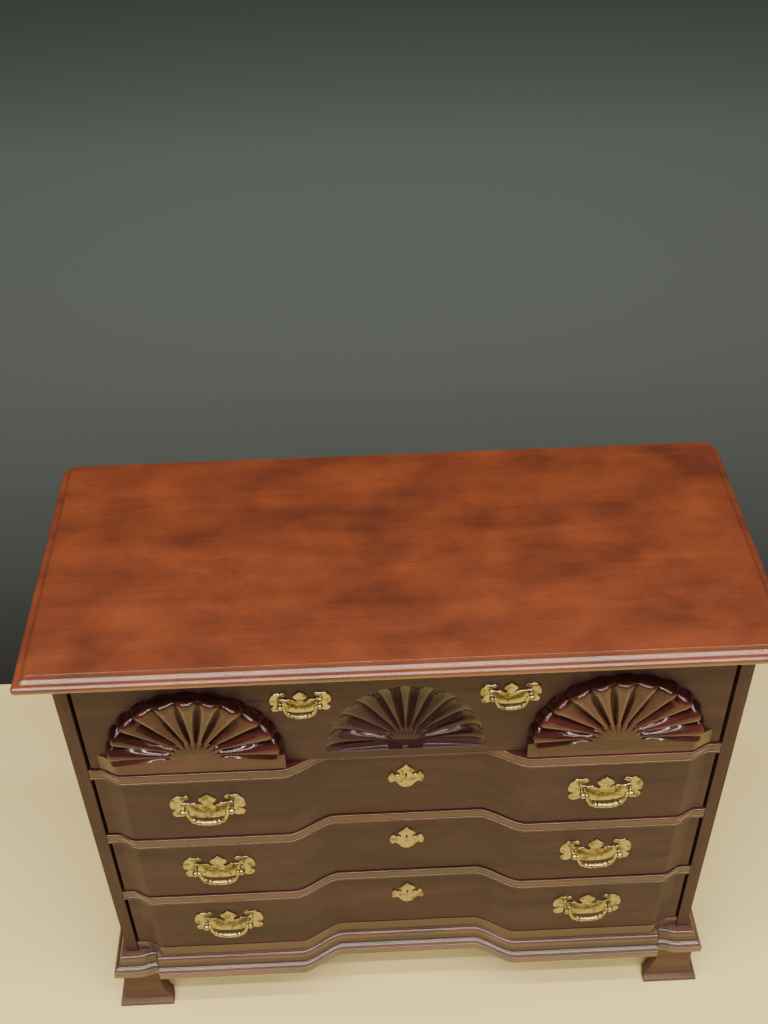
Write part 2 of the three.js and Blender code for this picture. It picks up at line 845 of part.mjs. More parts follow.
// A keyhole: round above, with a slot for the bit below
function keyhole(y0, y1) {
  const round = new THREE.CylinderGeometry(keyRadius, keyRadius, y1 - y0, keySides);
  const slot = box(-keySlot / 2, keySlot / 2, y0, y1, keyRise - keyDrop, keyRise);
  return solid(round.translate(0, (y0 + y1) / 2, 0)).translate([0, 0, keyRise]).add(slot);
}

function escutcheonPlate() {
  const outline = plateOutline(escutcheonShares, escutcheon.width, escutcheon.crest);
  const blank = run("y", outline, -seat - escutcheon.plate, -seat);
  return blank.subtract(keyhole(-overrun - escutcheon.plate, overrun));
}

// Drawers, each in a group that stands on its opening's lower edge
function drawer(name, opening, face, pull, bailSize, pullPlace, forward) {
  const group = new THREE.Group();
  group.position.z = opening.bottom;
  group.add(piece(name + "_front", drawerFront(opening.height, face), mahogany));
  pair(group, name + "_side", drawerSide(opening.height), poplar);
  group.add(piece(name + "_back", drawerBack(opening.height), poplar));
  group.add(piece(name + "_bottom", drawerBottom(), poplar));
  for (const [hand, side] of [["left", -1], ["right", 1]]) {
    const place = new THREE.Group();
    const across = side * insideHalf * pullPlace.acrossShare;
    place.position.set(across, ahead(forward), opening.height * pullPlace.upShare);
    place.add(piece(name + "_pull_plate_" + hand, pullPlate(pull), brass));
    const swung = piece(name + "_bail_" + hand, bail(pull, bailSize), brass);
    swung.position.y = -pull.stand;
    place.add(swung);
    group.add(place);
  }
  chest.add(group);
  return group;
}

const upperFace = box(
  -drawerHalf,
  drawerHalf,
  ahead(-marginFall),
  frontRear,
  drawerGap,
  upper.height - drawerGap,
).subtract(shellHollow().translate([0, ahead(-marginFall), drawerGap + plinthHeight]));
const upperDrawer = drawer(
  "drawer_1",
  upper,
  upperFace,
  smallPull,
  smallBail,
  smallPullPlace,
  -marginFall,
);
for (const [hand, side] of [["left", -1], ["right", 1]]) {
  const carved = piece("drawer_1_shell_" + hand, appliedShell(), shellMahogany);
  carved.position.set(side * shellCentre, ahead(-marginFall) - seat, drawerGap + plinthHeight);
  carved.scale.x = side;
  upperDrawer.add(carved);
}

Object.entries({ drawer_2: middle, drawer_3: lower, drawer_4: lowest }).forEach(([name, opening]) => {
  const plan = blockedPlan(0, drawerHalf, frontRear);
  const lockLevel = opening.height * escutcheon.upShare;
  const lock = keyhole(-overrun, keyholeDepth).translate([0, ahead(-recessFall), lockLevel]);
  const face = run("z", plan, drawerGap, opening.height - drawerGap).subtract(lock);
  const blocked = drawer(name, opening, face, largePull, largeBail, largePullPlace, blockRise);
  const plate = piece(name + "_escutcheon", escutcheonPlate(), brass);
  plate.position.set(0, ahead(-recessFall), lockLevel);
  blocked.add(plate);
});

export default chest;
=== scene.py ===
"""Looks of a block front chest of drawers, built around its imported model. Lengths are in metres."""

import json
import math
from functools import partial

import bmesh
import bpy
import numpy as np
from mathutils import Matrix, Vector

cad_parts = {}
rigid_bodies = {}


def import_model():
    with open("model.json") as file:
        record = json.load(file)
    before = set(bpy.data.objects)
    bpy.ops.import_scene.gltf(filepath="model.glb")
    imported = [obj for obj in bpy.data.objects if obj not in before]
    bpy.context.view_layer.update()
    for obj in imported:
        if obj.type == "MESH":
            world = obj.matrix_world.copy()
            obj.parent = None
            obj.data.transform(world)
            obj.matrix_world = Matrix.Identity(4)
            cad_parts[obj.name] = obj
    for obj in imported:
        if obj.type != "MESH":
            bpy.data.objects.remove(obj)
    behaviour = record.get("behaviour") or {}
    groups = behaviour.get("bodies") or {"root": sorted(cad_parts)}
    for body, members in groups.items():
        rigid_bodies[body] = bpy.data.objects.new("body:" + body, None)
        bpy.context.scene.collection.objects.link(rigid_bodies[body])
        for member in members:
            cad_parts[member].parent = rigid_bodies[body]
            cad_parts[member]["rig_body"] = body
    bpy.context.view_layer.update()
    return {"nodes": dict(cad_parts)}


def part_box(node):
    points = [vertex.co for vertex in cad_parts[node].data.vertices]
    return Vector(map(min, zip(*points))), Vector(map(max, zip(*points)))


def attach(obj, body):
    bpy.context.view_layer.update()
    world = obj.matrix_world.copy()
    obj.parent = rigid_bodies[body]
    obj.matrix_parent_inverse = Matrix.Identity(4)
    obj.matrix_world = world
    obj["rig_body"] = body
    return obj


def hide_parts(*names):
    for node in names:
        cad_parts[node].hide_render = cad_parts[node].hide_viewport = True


bl_info = {
    "name": "Block Front Chest",
    "version": (1, 0, 0),
    "blender": (4, 5, 0),
    "location": "3D View > Sidebar > Chest",
    "description": "Builds the woodwork, carving, brasses and stage of a block front chest",
    "category": "Add Mesh",
}

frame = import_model()

MM = 0.001
WELD = 1e-6
SIDES = {"left": -1, "right": 1}
RAILS = ("upper", "middle", "lower")
BLOCKED = (2, 3, 4)

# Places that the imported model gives
SIDE_LOW, SIDE_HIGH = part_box("case_side_right")
FRONT = SIDE_LOW.y
CASE_HALF = SIDE_HIGH.x
REAR = SIDE_HIGH.y
RAIL_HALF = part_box("top_rail")[1].x
DRAWER_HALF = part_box("drawer_1_front")[1].x
DRAWER_REAR_OF_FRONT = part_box("drawer_2_front")[1].y
BASE_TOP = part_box("base_front")[1].z
FOOT_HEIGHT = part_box("base_front")[0].z


# Properties that a user would change

def length(name, millimetres, text):
    return bpy.props.FloatProperty(name=name, description=text, default=millimetres * MM, unit="LENGTH")


def share(name, value, text):
    return bpy.props.FloatProperty(name=name, description=text, default=value, min=0, max=2)


def count(name, value, text):
    return bpy.props.IntProperty(name=name, description=text, default=value, min=1)


def angle(name, degrees, text):
    turn = math.radians(degrees)
    return bpy.props.FloatProperty(name=name, description=text, default=turn, subtype="ANGLE")


def linear(hex_colour):
    """Linear RGBA of an sRGB hex colour"""
    value = int(hex_colour.lstrip("#"), 16)
    channels = [(value >> shift & 255) / 255 for shift in (16, 8, 0)]
    return [c / 12.92 if c <= 0.04045 else ((c + 0.055) / 1.055) ** 2.4 for c in channels] + [1]


def colour(name, hex_colour, text):
    return bpy.props.FloatVectorProperty(
        name=name, description=text, default=linear(hex_colour), size=4, subtype="COLOR", min=0, max=1
    )


class ChestLine(bpy.types.PropertyGroup):
    """The blocked front line, forward of the front edges of the sides"""

    recess_half: length("Recess half width", 111.8, "From the middle to the end of the recess")
    block_inner: length("Block inner edge", 175.9, "From the middle to the start of a block")
    block_outer: length("Block outer edge", 405, "From the middle to the end of a block")
    margin_inner: length("Margin inner edge", 433, "From the middle to the flat margin")
    block_rise: length("Block rise", 11, "How far a block stands forward")
    recess_fall: length("Recess fall", 19, "How far the recess lies back")
    margin_fall: length("Margin fall", 2, "How far the margin lies back")
    ogee: share("Ogee", 0.6, "How round the bends are, from 0, straight, to 1")
    steps: count("Steps", 14, "Faces along each bend")


class ChestWoodwork(bpy.types.PropertyGroup):
    """Sizes of the mouldings, rails and feet"""

    nose_height: length("Nose height", 12, "Height of the nose of the top")
    nose_rounding: length("Nose rounding", 5, "Radius of the edges of the nose")
    edge_width: length("Edge width", 17, "Width of the moulding round the top")
    edge_fillet: length("Edge fillet", 1.5, "Height and width of the fillets beside the cove")
    corner_radius: length("Corner radius", 5, "Radius of the corners of the top")
    rail_proud: length("Rail proud", 3, "How far a rail stands forward of the drawers")
    bead_radius: length("Bead radius", 2.25, "Radius of the beads on a rail")
    bead_relief: length("Bead relief", 1.6, "How far a bead stands forward of its rail")
    blade_depth: length("Rail depth", 62, "Depth of a rail from front to back")
    moulding_height: length("Base moulding height", 45, "Height of the base moulding")
    moulding_reach: length("Base moulding reach", 18, "How far the base moulding stands forward")
    moulding_back: length("Base moulding depth", 45, "How far the base front goes back")
    corner_rise: length("Corner rise", 6, "How far the corners of the base stand forward")
    corner_width: length("Corner width", 52, "From a block of the base to the side of the case")
    scoop_width: length("Scoop width", 36, "Width of the scoop between block and corner of the base")
    scoop_dip: length("Scoop dip", 8, "How deep that scoop goes behind the corner's face")
    # The darkening in the hollows of the base moulding is painted shade
    painted_hollow_shade: share("Painted hollow shade", 0.85, "How dark the stain is in the hollows of the base moulding")
    foot_thickness: length("Foot thickness", 20, "Thickness of a foot")
    neck_length: length("Foot neck length", 60, "Length of a foot under the moulding")
    toe_length: length("Foot toe length", 91, "Length of a foot on the floor")
    neck_reach: length("Foot neck reach", 14, "How far a foot stands out under the moulding")
    toe_reach: length("Foot toe reach", 27, "How far a foot stands out on the floor")
    toe_height: length("Toe height", 10, "Height of the upright part of the toe")
    foot_curve: length("Foot curve height", 60, "Where the flare of a foot ends")
    easing: length("Easing", 0.8, "Width of the eased edges of boards")
    front_easing: length("Drawer easing", 1.6, "Width of the eased edges of drawer fronts")


class ChestCarving(bpy.types.PropertyGroup):
    """Sizes of the carved shells"""

    lobes: count("Lobes", 11, "Lobes of a shell")
    scallop: share("Scallop", 0.03, "How deep the edge is notched between lobes, as a share of the shell")
    fold: share("Fold", 1.05, "How round the grooves are, from 0.5, sharp, to 2")
    shell_half: length("Shell half width", 124.9, "Half the width of an applied shell")
    shell_rise: length("Shell rise", 127, "Height of an applied shell over its plinth")
    shell_crest: length("Shell crest", 21, "How far the crest of an applied shell stands out")
    shell_centre: length("Shell centre", 295, "From the middle of the drawer to that of an applied shell")
    shell_boss: share("Shell boss", 0.23, "How much wider than high the boss of an applied shell is")
    # The darker edge of an applied shell is partly stain and partly painted shade under the overhanging top
    edge_stain: share("Edge stain", 0.9, "How dark the stain is on the edge of an applied shell")
    plinth_height: length("Plinth height", 30, "Height of the plinth of a shell")
    hollow_half: length("Hollow half width", 114.1, "Half the width of the hollow shell")
    hollow_ground: length("Hollow ground", 15, "From the lower edge of the drawer to the hollow shell")
    hollow_rise: length("Hollow rise", 134, "Height of the hollow shell")
    hollow_depth: length("Hollow depth", 19, "Depth of the hollow shell")
    hollow_boss: share("Hollow boss", 0.12, "How much wider than high the boss of the hollow shell is")
    gutter: share("Gutter", 1, "Slope of the gutter along the foot of the hollow shell, 1 for 45 degrees")
    rows: count("Rows", 64, "Faces from the middle of a shell to its edge")
    lobe_steps: count("Lobe steps", 14, "Faces across a lobe")


class ChestBrasses(bpy.types.PropertyGroup):
    """Sizes of the brasses"""

    plate_thickness: length("Plate thickness", 1.8, "Thickness of a plate")
    plate_bevel: length("Plate bevel", 0.9, "Width of the bevel round a plate")
    large_width: length("Large pull width", 110, "Width of a large plate")
    large_crest: length("Large pull crest", 26.5, "Height of a large plate over its posts")
    large_boring: length("Large boring", 70, "Between the posts of a large pull")
    large_stand: length("Large stand", 13, "How far the bail of a large pull stands out")
    large_ball: length("Large ball", 5.2, "Radius of the balls of a large pull")
    large_drop: length("Large drop", 26.5, "How far the bail of a large pull hangs down")
    large_rod: length("Large rod", 2.8, "Radius of the bail of a large pull")
    small_scale: share("Small pull", 0.763, "Size of a small pull against a large one")
    small_boring: share("Small boring", 0.764, "Its boring against that of a large one")
    small_ball: share("Small ball", 0.846, "Its balls against those of a large one")
    small_rod: share("Small rod", 0.87, "Its bail's thickness against that of a large one")
    small_stand: length("Small stand", 11, "How far the bail of a small pull stands out")
    bail_swell: length("Bail swell", 1.4, "How far the beads of a bail swell")
    bail_beads: count("Bail beads", 7, "Beads on the lower half of a bail")
    pin_reach: length("Pin reach", 3, "How far a bail reaches past the middle of its posts")
    escutcheon_width: length("Escutcheon width", 54, "Width of an escutcheon")
    escutcheon_crest: length("Escutcheon crest", 28.5, "Height of an escutcheon over its middle")
    key_radius: length("Keyhole radius", 1.9, "Radius of the round part of a keyhole")
    key_slot: length("Keyhole slot", 2.2, "Width of the slot of a keyhole")
    key_drop: length("Keyhole drop", 7, "How far the slot goes down")
    key_rise: length("Keyhole rise", 6, "Height of the keyhole over the middle of its plate")
    key_depth: length("Keyhole depth", 12, "Depth of the keyhole in the wood")


class ChestFinishes(bpy.types.PropertyGroup):
    """Colours of the finishes"""

    top_light: colour("Top light", "#632e15", "Light figure of the top")
    top_dark: colour("Top dark", "#431c0d", "Dark figure of the top")
    front_light: colour("Front light", "#3e2828", "Light figure of the fronts and sides")
    front_dark: colour("Front dark", "#251817", "Dark figure of the fronts and sides")
    rail_light: colour("Rail light", "#46231b", "Light figure of the rails")
    rail_dark: colour("Rail dark", "#28110b", "Dark figure of the rails")
    # The base moulding is lighter and pinker than the other mahogany, in part a painted sheen
    moulding_light: colour("Moulding light", "#5c3d37", "Light figure of the base moulding")
    moulding_dark: colour("Moulding dark", "#33201b", "Dark figure of the base moulding")
    foot_light: colour("Foot light", "#5e4439", "Light figure of the feet")
    foot_dark: colour("Foot dark", "#3b281f", "Dark figure of the feet")
    carved_light: colour("Carved light", "#4c2524", "Light figure of the carving")
    carved_dark: colour("Carved dark", "#200c0b", "Dark figure of the carving")
    poplar_light: colour("Poplar light", "#c8ab7a", "Light figure of the inside wood")
    poplar_dark: colour("Poplar dark", "#9d7d4c", "Dark figure of the inside wood")
    brass_light: colour("Brass light", "#a59a70", "Polished brass")
    brass_dark: colour("Brass dark", "#453f1b", "Tarnish on the brass")


class ChestStage(bpy.types.PropertyGroup):
    """Camera, floor and lights"""

    camera_place: bpy.props.FloatVectorProperty(
        name="Camera place", description="Where the camera stands", default=(-0.0495, -1.2816, 2.0319),
        subtype="TRANSLATION",
    )
    camera_yaw: angle("Yaw", 1.36, "Turn to the right")
    camera_pitch: angle("Pitch", 40.91, "Tilt downwards")
    camera_roll: angle("Roll", -1.39, "Turn about the view")
    camera_lens: bpy.props.FloatProperty(
        name="Lens", description="Focal length", default=43.5, min=1, unit="CAMERA"
    )
    floor_colour: colour("Floor", "#cebd81", "The pale floor round the chest")
    # Painted shadow on the floor close behind the chest, lightening towards the ground colour farther back
    shade_colour: colour("Shade", "#080a0b", "The dark floor close behind the chest")
    ground_colour: colour("Ground", "#76827f", "The dark floor far behind")
    floor_size: length("Floor size", 7000, "How far the floor goes to each side")
    floor_back: length("Floor back", 540, "Where the pale floor ends behind the chest")
    floor_far: length("Floor far", 3200, "Where the dark floor is lightest")
    light_colour: colour("Light colour", "#fdf3e6", "Colour of the lights")
    light_length: length("Light length", 6000, "Length of each light, from side to side")
    light_height: length("Light height", 3000, "Height of the lights over the floor")
    sky_colour: colour("Sky colour", "#c9cdbf", "Colour of the light from all round")
    sky: share("Sky", 0.12, "Strength of the light from all round")


# Meshes

def add_object(name, data):
    piece = bpy.data.objects.new(name, data)
    bpy.context.scene.collection.objects.link(piece)
    return piece


def tidy_mesh(mesh, flat_angle=None):
    """Joins the doubles of a mesh, melts its flat faces if asked and turns its faces outwards"""
    work = bmesh.new()
    work.from_mesh(mesh)
    bmesh.ops.remove_doubles(work, verts=work.verts, dist=WELD)
    bmesh.ops.dissolve_degenerate(work, edges=work.edges, dist=WELD)
    if flat_angle is not None:
        bmesh.ops.dissolve_limit(work, angle_limit=flat_angle, verts=work.verts, edges=work.edges)
    bmesh.ops.recalc_face_normals(work, faces=work.faces)
    work.to_mesh(mesh)
    work.free()


def mesh_piece(name, points, edges=(), faces=()):
    """A piece from points, and from edges for a rod to follow or from faces"""
    mesh = bpy.data.meshes.new(name)
    mesh.from_pydata([tuple(p) for p in points], edges, faces)
    if faces:
        tidy_mesh(mesh)
    return add_object(name, mesh)


def apply_modifiers(piece):
    """Replaces a piece's mesh by the one that its modifiers give, and drops the modifiers"""
    graph = bpy.context.evaluated_depsgraph_get()
    made = bpy.data.meshes.new_from_object(piece.evaluated_get(graph))
    piece.modifiers.clear()
    old = piece.data
    piece.data = made
    bpy.data.meshes.remove(old)
    return piece


def move(piece, place):
    """Moves the mesh of a piece, whose object stays at the origin"""
    piece.data.transform(Matrix.Translation(place))


def loft(name, rings):
    """A closed piece through rings of equal length, with flat ends"""
    size = len(rings[0])
    last = (len(rings) - 1) * size
    faces = [
        (i + j, i + (j + 1) % size, i + size + (j + 1) % size, i + size + j)
        for i in range(0, last, size)
        for j in range(size)
    ]
    faces += [tuple(range(size)), tuple(range(last, last + size))]
    return mesh_piece(name, np.concatenate(rings), faces=faces)


def ring_at(z, outline):
    """A level ring from (x, y) points"""
    return np.column_stack([outline, np.full(len(outline), z)])


def upright_ring(y, outline):
    """An upright ring from (x, z) points"""
    return np.column_stack([outline[:, 0], np.full(len(outline), y), outline[:, 1]])


def mirrored(half):
    """The whole outline whose right half is given from the middle outwards"""
    half = np.asarray(half, float)
    return np.vstack([half[::-1] * (-1, 1), half])


def arc(centre, radii, start, end, steps):
    """Points of an elliptical arc, its angles in degrees"""
    angles = np.radians(np.linspace(start, end, steps + 1))
    return np.column_stack([centre[0] + radii[0] * np.cos(angles), centre[1] + radii[1] * np.sin(angles)])


def eased(piece, width, segments=2):
    """Rounds the sharp edges of a piece"""
    bevel = piece.modifiers.new("Eased edges", "BEVEL")
    bevel.width = width
    bevel.segments = segments
    bevel.limit_method = "ANGLE"
    bevel.angle_limit = math.radians(40)
    return apply_modifiers(piece)


def merged_copy(node):
    """A copy of a CAD node's mesh with its triangles joined"""
    mesh = frame["nodes"][node].data.copy()
    mesh.materials.clear()
    tidy_mesh(mesh, math.radians(0.5))
    return add_object("cut_" + node, mesh)


def join(piece, other):
    """Adds the mesh of another piece to a piece, and removes the other"""
    work = bmesh.new()
    for each in (piece, other):
        work.from_mesh(each.data)
    bpy.data.objects.remove(other)
    work.to_mesh(piece.data)
    work.free()
    return piece


def cut(piece, cutters):
    """Cuts a piece by others, which are then removed"""
    for cutter in cutters:
        boolean = piece.modifiers.new("Cut", "BOOLEAN")
        boolean.operation = "DIFFERENCE"
        boolean.solver = "EXACT"
        boolean.object = cutter
    apply_modifiers(piece)
    for cutter in cutters:
        bpy.data.objects.remove(cutter)
    return piece


def fit(piece, node, finish, smooth_angle=35):
    """Gives a piece its finish, and lets it stand for a CAD node and ride on its body"""
    material, slot = FINISHES[finish]
    piece.data.materials.clear()
    piece.data.materials.append(material)
    piece.data.shade_smooth()
    piece.data.set_sharp_from_angle(angle=math.radians(smooth_angle))
    # The large flat faces keep their own normals, so that they shine evenly
    weighted = piece.modifiers.new("Even shine", "WEIGHTED_NORMAL")
    weighted.keep_sharp = True
    weighted.weight = 100
    apply_modifiers(piece)
    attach(piece, frame["nodes"][node]["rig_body"])
    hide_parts(node)


def paint_shade(piece, amount, here):
    """Marks the points of a piece where the wood finishes paint shade, darkening them"""
    marks = piece.data.attributes.new("groove", "FLOAT", "POINT").data
    for point, mark in zip(piece.data.vertices, marks):
        mark.value = amount if here(point.co) else 0.0


# Front line

def bend(line, x0, x1, forward0, forward1):
    """One bend of the front line, from a place and its distance forward to the next"""
    t = np.linspace(0, 1, line.steps + 1)
    rise = (1 - line.ogee) * t + line.ogee * t * t * (3 - 2 * t)
    return np.column_stack([x0 + (x1 - x0) * t, FRONT - forward0 - (forward1 - forward0) * rise])


def recess_bend(line, proud):
    return bend(line, line.recess_half, line.block_inner, proud - line.recess_fall, proud + line.block_rise)


def margin_bend(line, proud):
    return bend(line, line.block_outer, line.margin_inner, proud + line.block_rise, proud - line.margin_fall)


def front_half(line, proud, outer):
    """The front line from the middle to the right, as (x, y) points"""
    end = [(outer, FRONT - proud + line.margin_fall)]
    return np.vstack([recess_bend(line, proud), margin_bend(line, proud), end])


def blocked_plan(line, proud, outer, back):
    """The outline of a blocked board, seen from above"""
    return np.vstack([mirrored(front_half(line, proud, outer)), [(outer, back), (-outer, back)]])


# Node trees

def add_node(tree, kind, *inputs, out=0):
    """Adds a node and returns one of its outputs. Its inputs are numbers, colours or sockets, given in order
    or named in a dict, which may hold settings of the node too. A kind in capitals is a sum."""
    named = {}
    if kind.isupper():
        kind, named = "ShaderNodeMath", {"operation": kind}
    for place, value in enumerate(inputs):
        named.update(value if isinstance(value, dict) else {place: value})
    node = tree.nodes.new(kind)
    for key, value in named.items():
        if isinstance(key, str) and hasattr(node, key):
            setattr(node, key, value)
        elif isinstance(value, bpy.types.NodeSocket):
            tree.links.new(value, node.inputs[key])
        else:
            node.inputs[key].default_value = value
    return node.outputs[out] if node.outputs else None


def new_tree(name, floats, others):
    """A Geometry Nodes tree with named inputs, these inputs, and what adds its nodes"""
    tree = bpy.data.node_groups.new(name, "GeometryNodeTree")
    tree.interface.new_socket("Geometry", in_out="INPUT", socket_type="NodeSocketGeometry")
    for label, kind in {**dict.fromkeys(floats, "Float"), **others, "Material": "Material"}.items():
        tree.interface.new_socket(label, in_out="INPUT", socket_type="NodeSocket" + kind)
    tree.interface.new_socket("Geometry", in_out="OUTPUT", socket_type="NodeSocketGeometry")
    node = partial(add_node, tree)
    return tree, node("NodeGroupInput").node.outputs, node


def end_tree(tree, geometry, material):
    """Ends a tree in plain, finished geometry"""
    real = add_node(tree, "GeometryNodeRealizeInstances", geometry)
    done = add_node(tree, "GeometryNodeSetMaterial", {"Geometry": real, "Material": material})
    add_node(tree, "NodeGroupOutput", {"Geometry": done})
    return tree


def grow(piece, tree, values):
    """Runs a tree on a piece with the given inputs and keeps the result as its mesh"""
    modifier = piece.modifiers.new(tree.name, "NODES")
    modifier.node_group = tree
    for item in tree.interface.items_tree:
        if item.in_out == "INPUT" and item.name in values:
            modifier[item.identifier] = values[item.name]
    return apply_modifiers(piece)


def height_curve(node, at, heights, sharp):
    """A curve over 0 to 1 through (place, height) points, the last few of them sharp"""
    height = node("ShaderNodeFloatCurve", {"Value": at})
    mapping = height.node.mapping
    points = mapping.curves[0].points
    while len(points) < len(heights):
        points.new(0.5, 0.5)
    for i, (point, place) in enumerate(zip(points, heights)):
        point.location = place
        point.handle_type = "AUTO" if i < len(heights) - sharp else "VECTOR"
    mapping.update()
    return height


# Where the steep outer edge of a shell starts, from 0 at its middle to 1
STEEP_FROM = 0.965
# How much closer together its rows lie at the edge than in the middle
CLOSER = 0.6


def fan_tree(name, ridge, groove, sharp):
    """A fan of lobes over a base line, closed by a flat back. Ridge and groove give the heights along the
    middle of a lobe and between two lobes, from the middle of the shell to its edge."""
    floats = (
        "Half Width", "Rise", "Lobes", "Fold", "Scallop", "Height", "Back", "Boss Spread", "Edge Stain",
        "Gutter",
    )
    tree, given, node = new_tree(name, floats, {"Columns": "Int", "Rows": "Int"})
    # The columns are the edge of the back, the foot of the front, the fan, and the same at the other end.
    # The rows go from the middle of the fan to its edge, and one more to the edge of the back.
    columns, rows = node("ADD", given["Columns"], 4), node("ADD", given["Rows"], 1)
    vertices = {"Vertices X": node("ADD", columns, 1), "Vertices Y": node("ADD", rows, 1)}
    grid = node("GeometryNodeMeshGrid", {"Size X": 1, "Size Y": 1, **vertices})
    place = node("GeometryNodeInputPosition")
    across, up = (node("ADD", node("ShaderNodeSeparateXYZ", place, out=axis), 0.5) for axis in "XY")
    column = node("ROUND", node("MULTIPLY", across, columns))
    from_end = node("MINIMUM", column, node("SUBTRACT", columns, column))
    turn = node("DIVIDE", node("SUBTRACT", column, 2), given["Columns"])
    turn = node("MINIMUM", node("MAXIMUM", turn, 0), 1)
    row = node("ROUND", node("MULTIPLY", up, rows))
    # The rows lie closer together towards the edge, where the shell falls steeply
    even = node("MINIMUM", node("DIVIDE", row, given["Rows"]), 1)
    out = node("MULTIPLY", even, node("SUBTRACT", 1 + CLOSER, node("MULTIPLY", even, CLOSER)))
    past_edge = node("GREATER_THAN", row, node("ADD", given["Rows"], 0.5))
    at_back = node("MAXIMUM", past_edge, node("LESS_THAN", from_end, 0.5))
    in_front = node("SUBTRACT", 1, at_back)

    swing = node("MULTIPLY", turn, math.pi)
    wave = node("ABSOLUTE", node("SINE", node("MULTIPLY", swing, given["Lobes"])))
    from_base = node("MINIMUM", turn, node("SUBTRACT", 1, turn))
    # The lowest lobes run down to the base line without a groove
    lowest = node("SUBTRACT", 1, node("MULTIPLY", node("MULTIPLY", from_base, given["Lobes"]), 2))
    lobe = node("MAXIMUM", node("POWER", wave, given["Fold"]), lowest)
    notch = node("MULTIPLY", node("SUBTRACT", 1, node("POWER", wave, 0.8)), given["Scallop"])
    reach = node("MULTIPLY", out, node("SUBTRACT", 1, node("MULTIPLY", notch, out)))
    level, upright = node("COSINE", swing), node("SINE", node("MULTIPLY", from_base, math.pi))
    x = node("MULTIPLY", node("MULTIPLY", node("MULTIPLY", level, reach), given["Half Width"]), -1)
    z = node("MULTIPLY", node("MULTIPLY", upright, reach), given["Rise"])

    # The boss is wider than it is high
    near = node("MULTIPLY", node("ABSOLUTE", level), node("POWER", node("SUBTRACT", 1, out), 4))
    at = node("SUBTRACT", out, node("MULTIPLY", near, given["Boss Spread"]))
    low, high = (height_curve(node, at, heights, sharp) for heights in (groove, ridge))
    swell = node("MULTIPLY", node("SUBTRACT", high, low), lobe)
    height = node("MULTIPLY", node("ADD", low, swell), given["Height"])
    # The gutter under a hollow fan goes down as steeply as asked, and is shallow where the fan is
    foot = node("LESS_THAN", node("ABSOLUTE", node("SUBTRACT", from_end, 1)), 0.5)
    gutter = node("MULTIPLY", node("MULTIPLY", height, foot), given["Gutter"])
    front_z = node("ADD", z, node("MULTIPLY", gutter, in_front))
    y = node("MULTIPLY", node("MULTIPLY", height, in_front), -1)
    y = node("ADD", y, node("MULTIPLY", at_back, given["Back"]))

    # Darker between the lobes, partly real stain and wax and partly painted shade; on the steep outer edge,
    # partly stain and partly painted shade under the overhanging top; in the gutter, a painted shadow
    edge = node("MULTIPLY", node("GREATER_THAN", out, STEEP_FROM), given["Edge Stain"])
    # A painted shadow along the gutter under the lowest lobes of the hollow shell
    base = node("MULTIPLY", node("LESS_THAN", from_end, 2.5), node("GREATER_THAN", given["Gutter"], 0))
    dark = node("MAXIMUM", node("SUBTRACT", 1, lobe), node("MAXIMUM", edge, base))
    for label, value in (("groove", dark), ("carving", 1)):
        grid = node("GeometryNodeStoreNamedAttribute", {
            "data_type": "FLOAT", "domain": "POINT", "Name": label, "Geometry": grid, "Value": value,
        })
    places = [node("ShaderNodeCombineXYZ", x, *rest) for rest in ((y, front_z), (given["Back"], z))]
    front, back = (node("GeometryNodeSetPosition", {"Geometry": grid, "Position": p}) for p in places)
    both = node("GeometryNodeJoinGeometry", front)
    tree.links.new(node("GeometryNodeFlipFaces", back), both.node.inputs[0])
    whole = node("GeometryNodeMergeByDistance", {"Geometry": both, "Distance": 0.02 * MM})
    return end_tree(tree, whole, given["Material"])


def rod_tree():
    """A round rod along the piece's edges, which swells into beads about its middle"""
    floats = ("Radius", "Swell", "Beads", "Beaded Share")
    tree, given, node = new_tree("Rod along a line", floats, {"Sides": "Int"})
    factor = node("GeometryNodeSplineParameter", out="Factor")
    along = node("DIVIDE", node("ABSOLUTE", node("SUBTRACT", factor, 0.5)), given["Beaded Share"])
    wave = node("MULTIPLY", node("MULTIPLY", along, math.pi), given["Beads"])
    bead = node("POWER", node("ABSOLUTE", node("COSINE", wave)), 0.6)
    bead = node("MULTIPLY", bead, node("LESS_THAN", along, 0.5))
    radius = node("ADD", given["Radius"], node("MULTIPLY", bead, given["Swell"]))
    path = node("GeometryNodeMeshToCurve", given["Geometry"])
    sized = node("GeometryNodeSetCurveRadius", {"Curve": path, "Radius": radius})
    circle = node("GeometryNodeCurvePrimitiveCircle", {"Resolution": given["Sides"], "Radius": 1})
    rod = node("GeometryNodeCurveToMesh", {
        "Curve": sized, "Profile Curve": circle, "Scale": radius, "Fill Caps": True,
    })
    return end_tree(tree, rod, given["Material"])


def fastener_tree():
    """Copies of a turned fastener on the points of the piece, which are its loose vertices"""
    tree, given, node = new_tree("Fasteners on a plate", (), {"Fastener": "Object"})
    source = {"Object": given["Fastener"], "As Instance": True}
    fastener = node("GeometryNodeObjectInfo", source, out="Geometry")
    placed = node("GeometryNodeInstanceOnPoints", {"Points": given["Geometry"], "Instance": fastener})
    return end_tree(tree, placed, given["Material"])


# Finishes: material and the record's slot, filled by the first operator
FINISHES = {}
GRAINS = {"x": 0, "y": 1, "z": 2}


def new_material(name):
    """An empty material, and what adds its nodes"""
    material = bpy.data.materials.new(name)
    material.use_nodes = True
    material.node_tree.nodes.clear()
    return material, partial(add_node, material.node_tree)


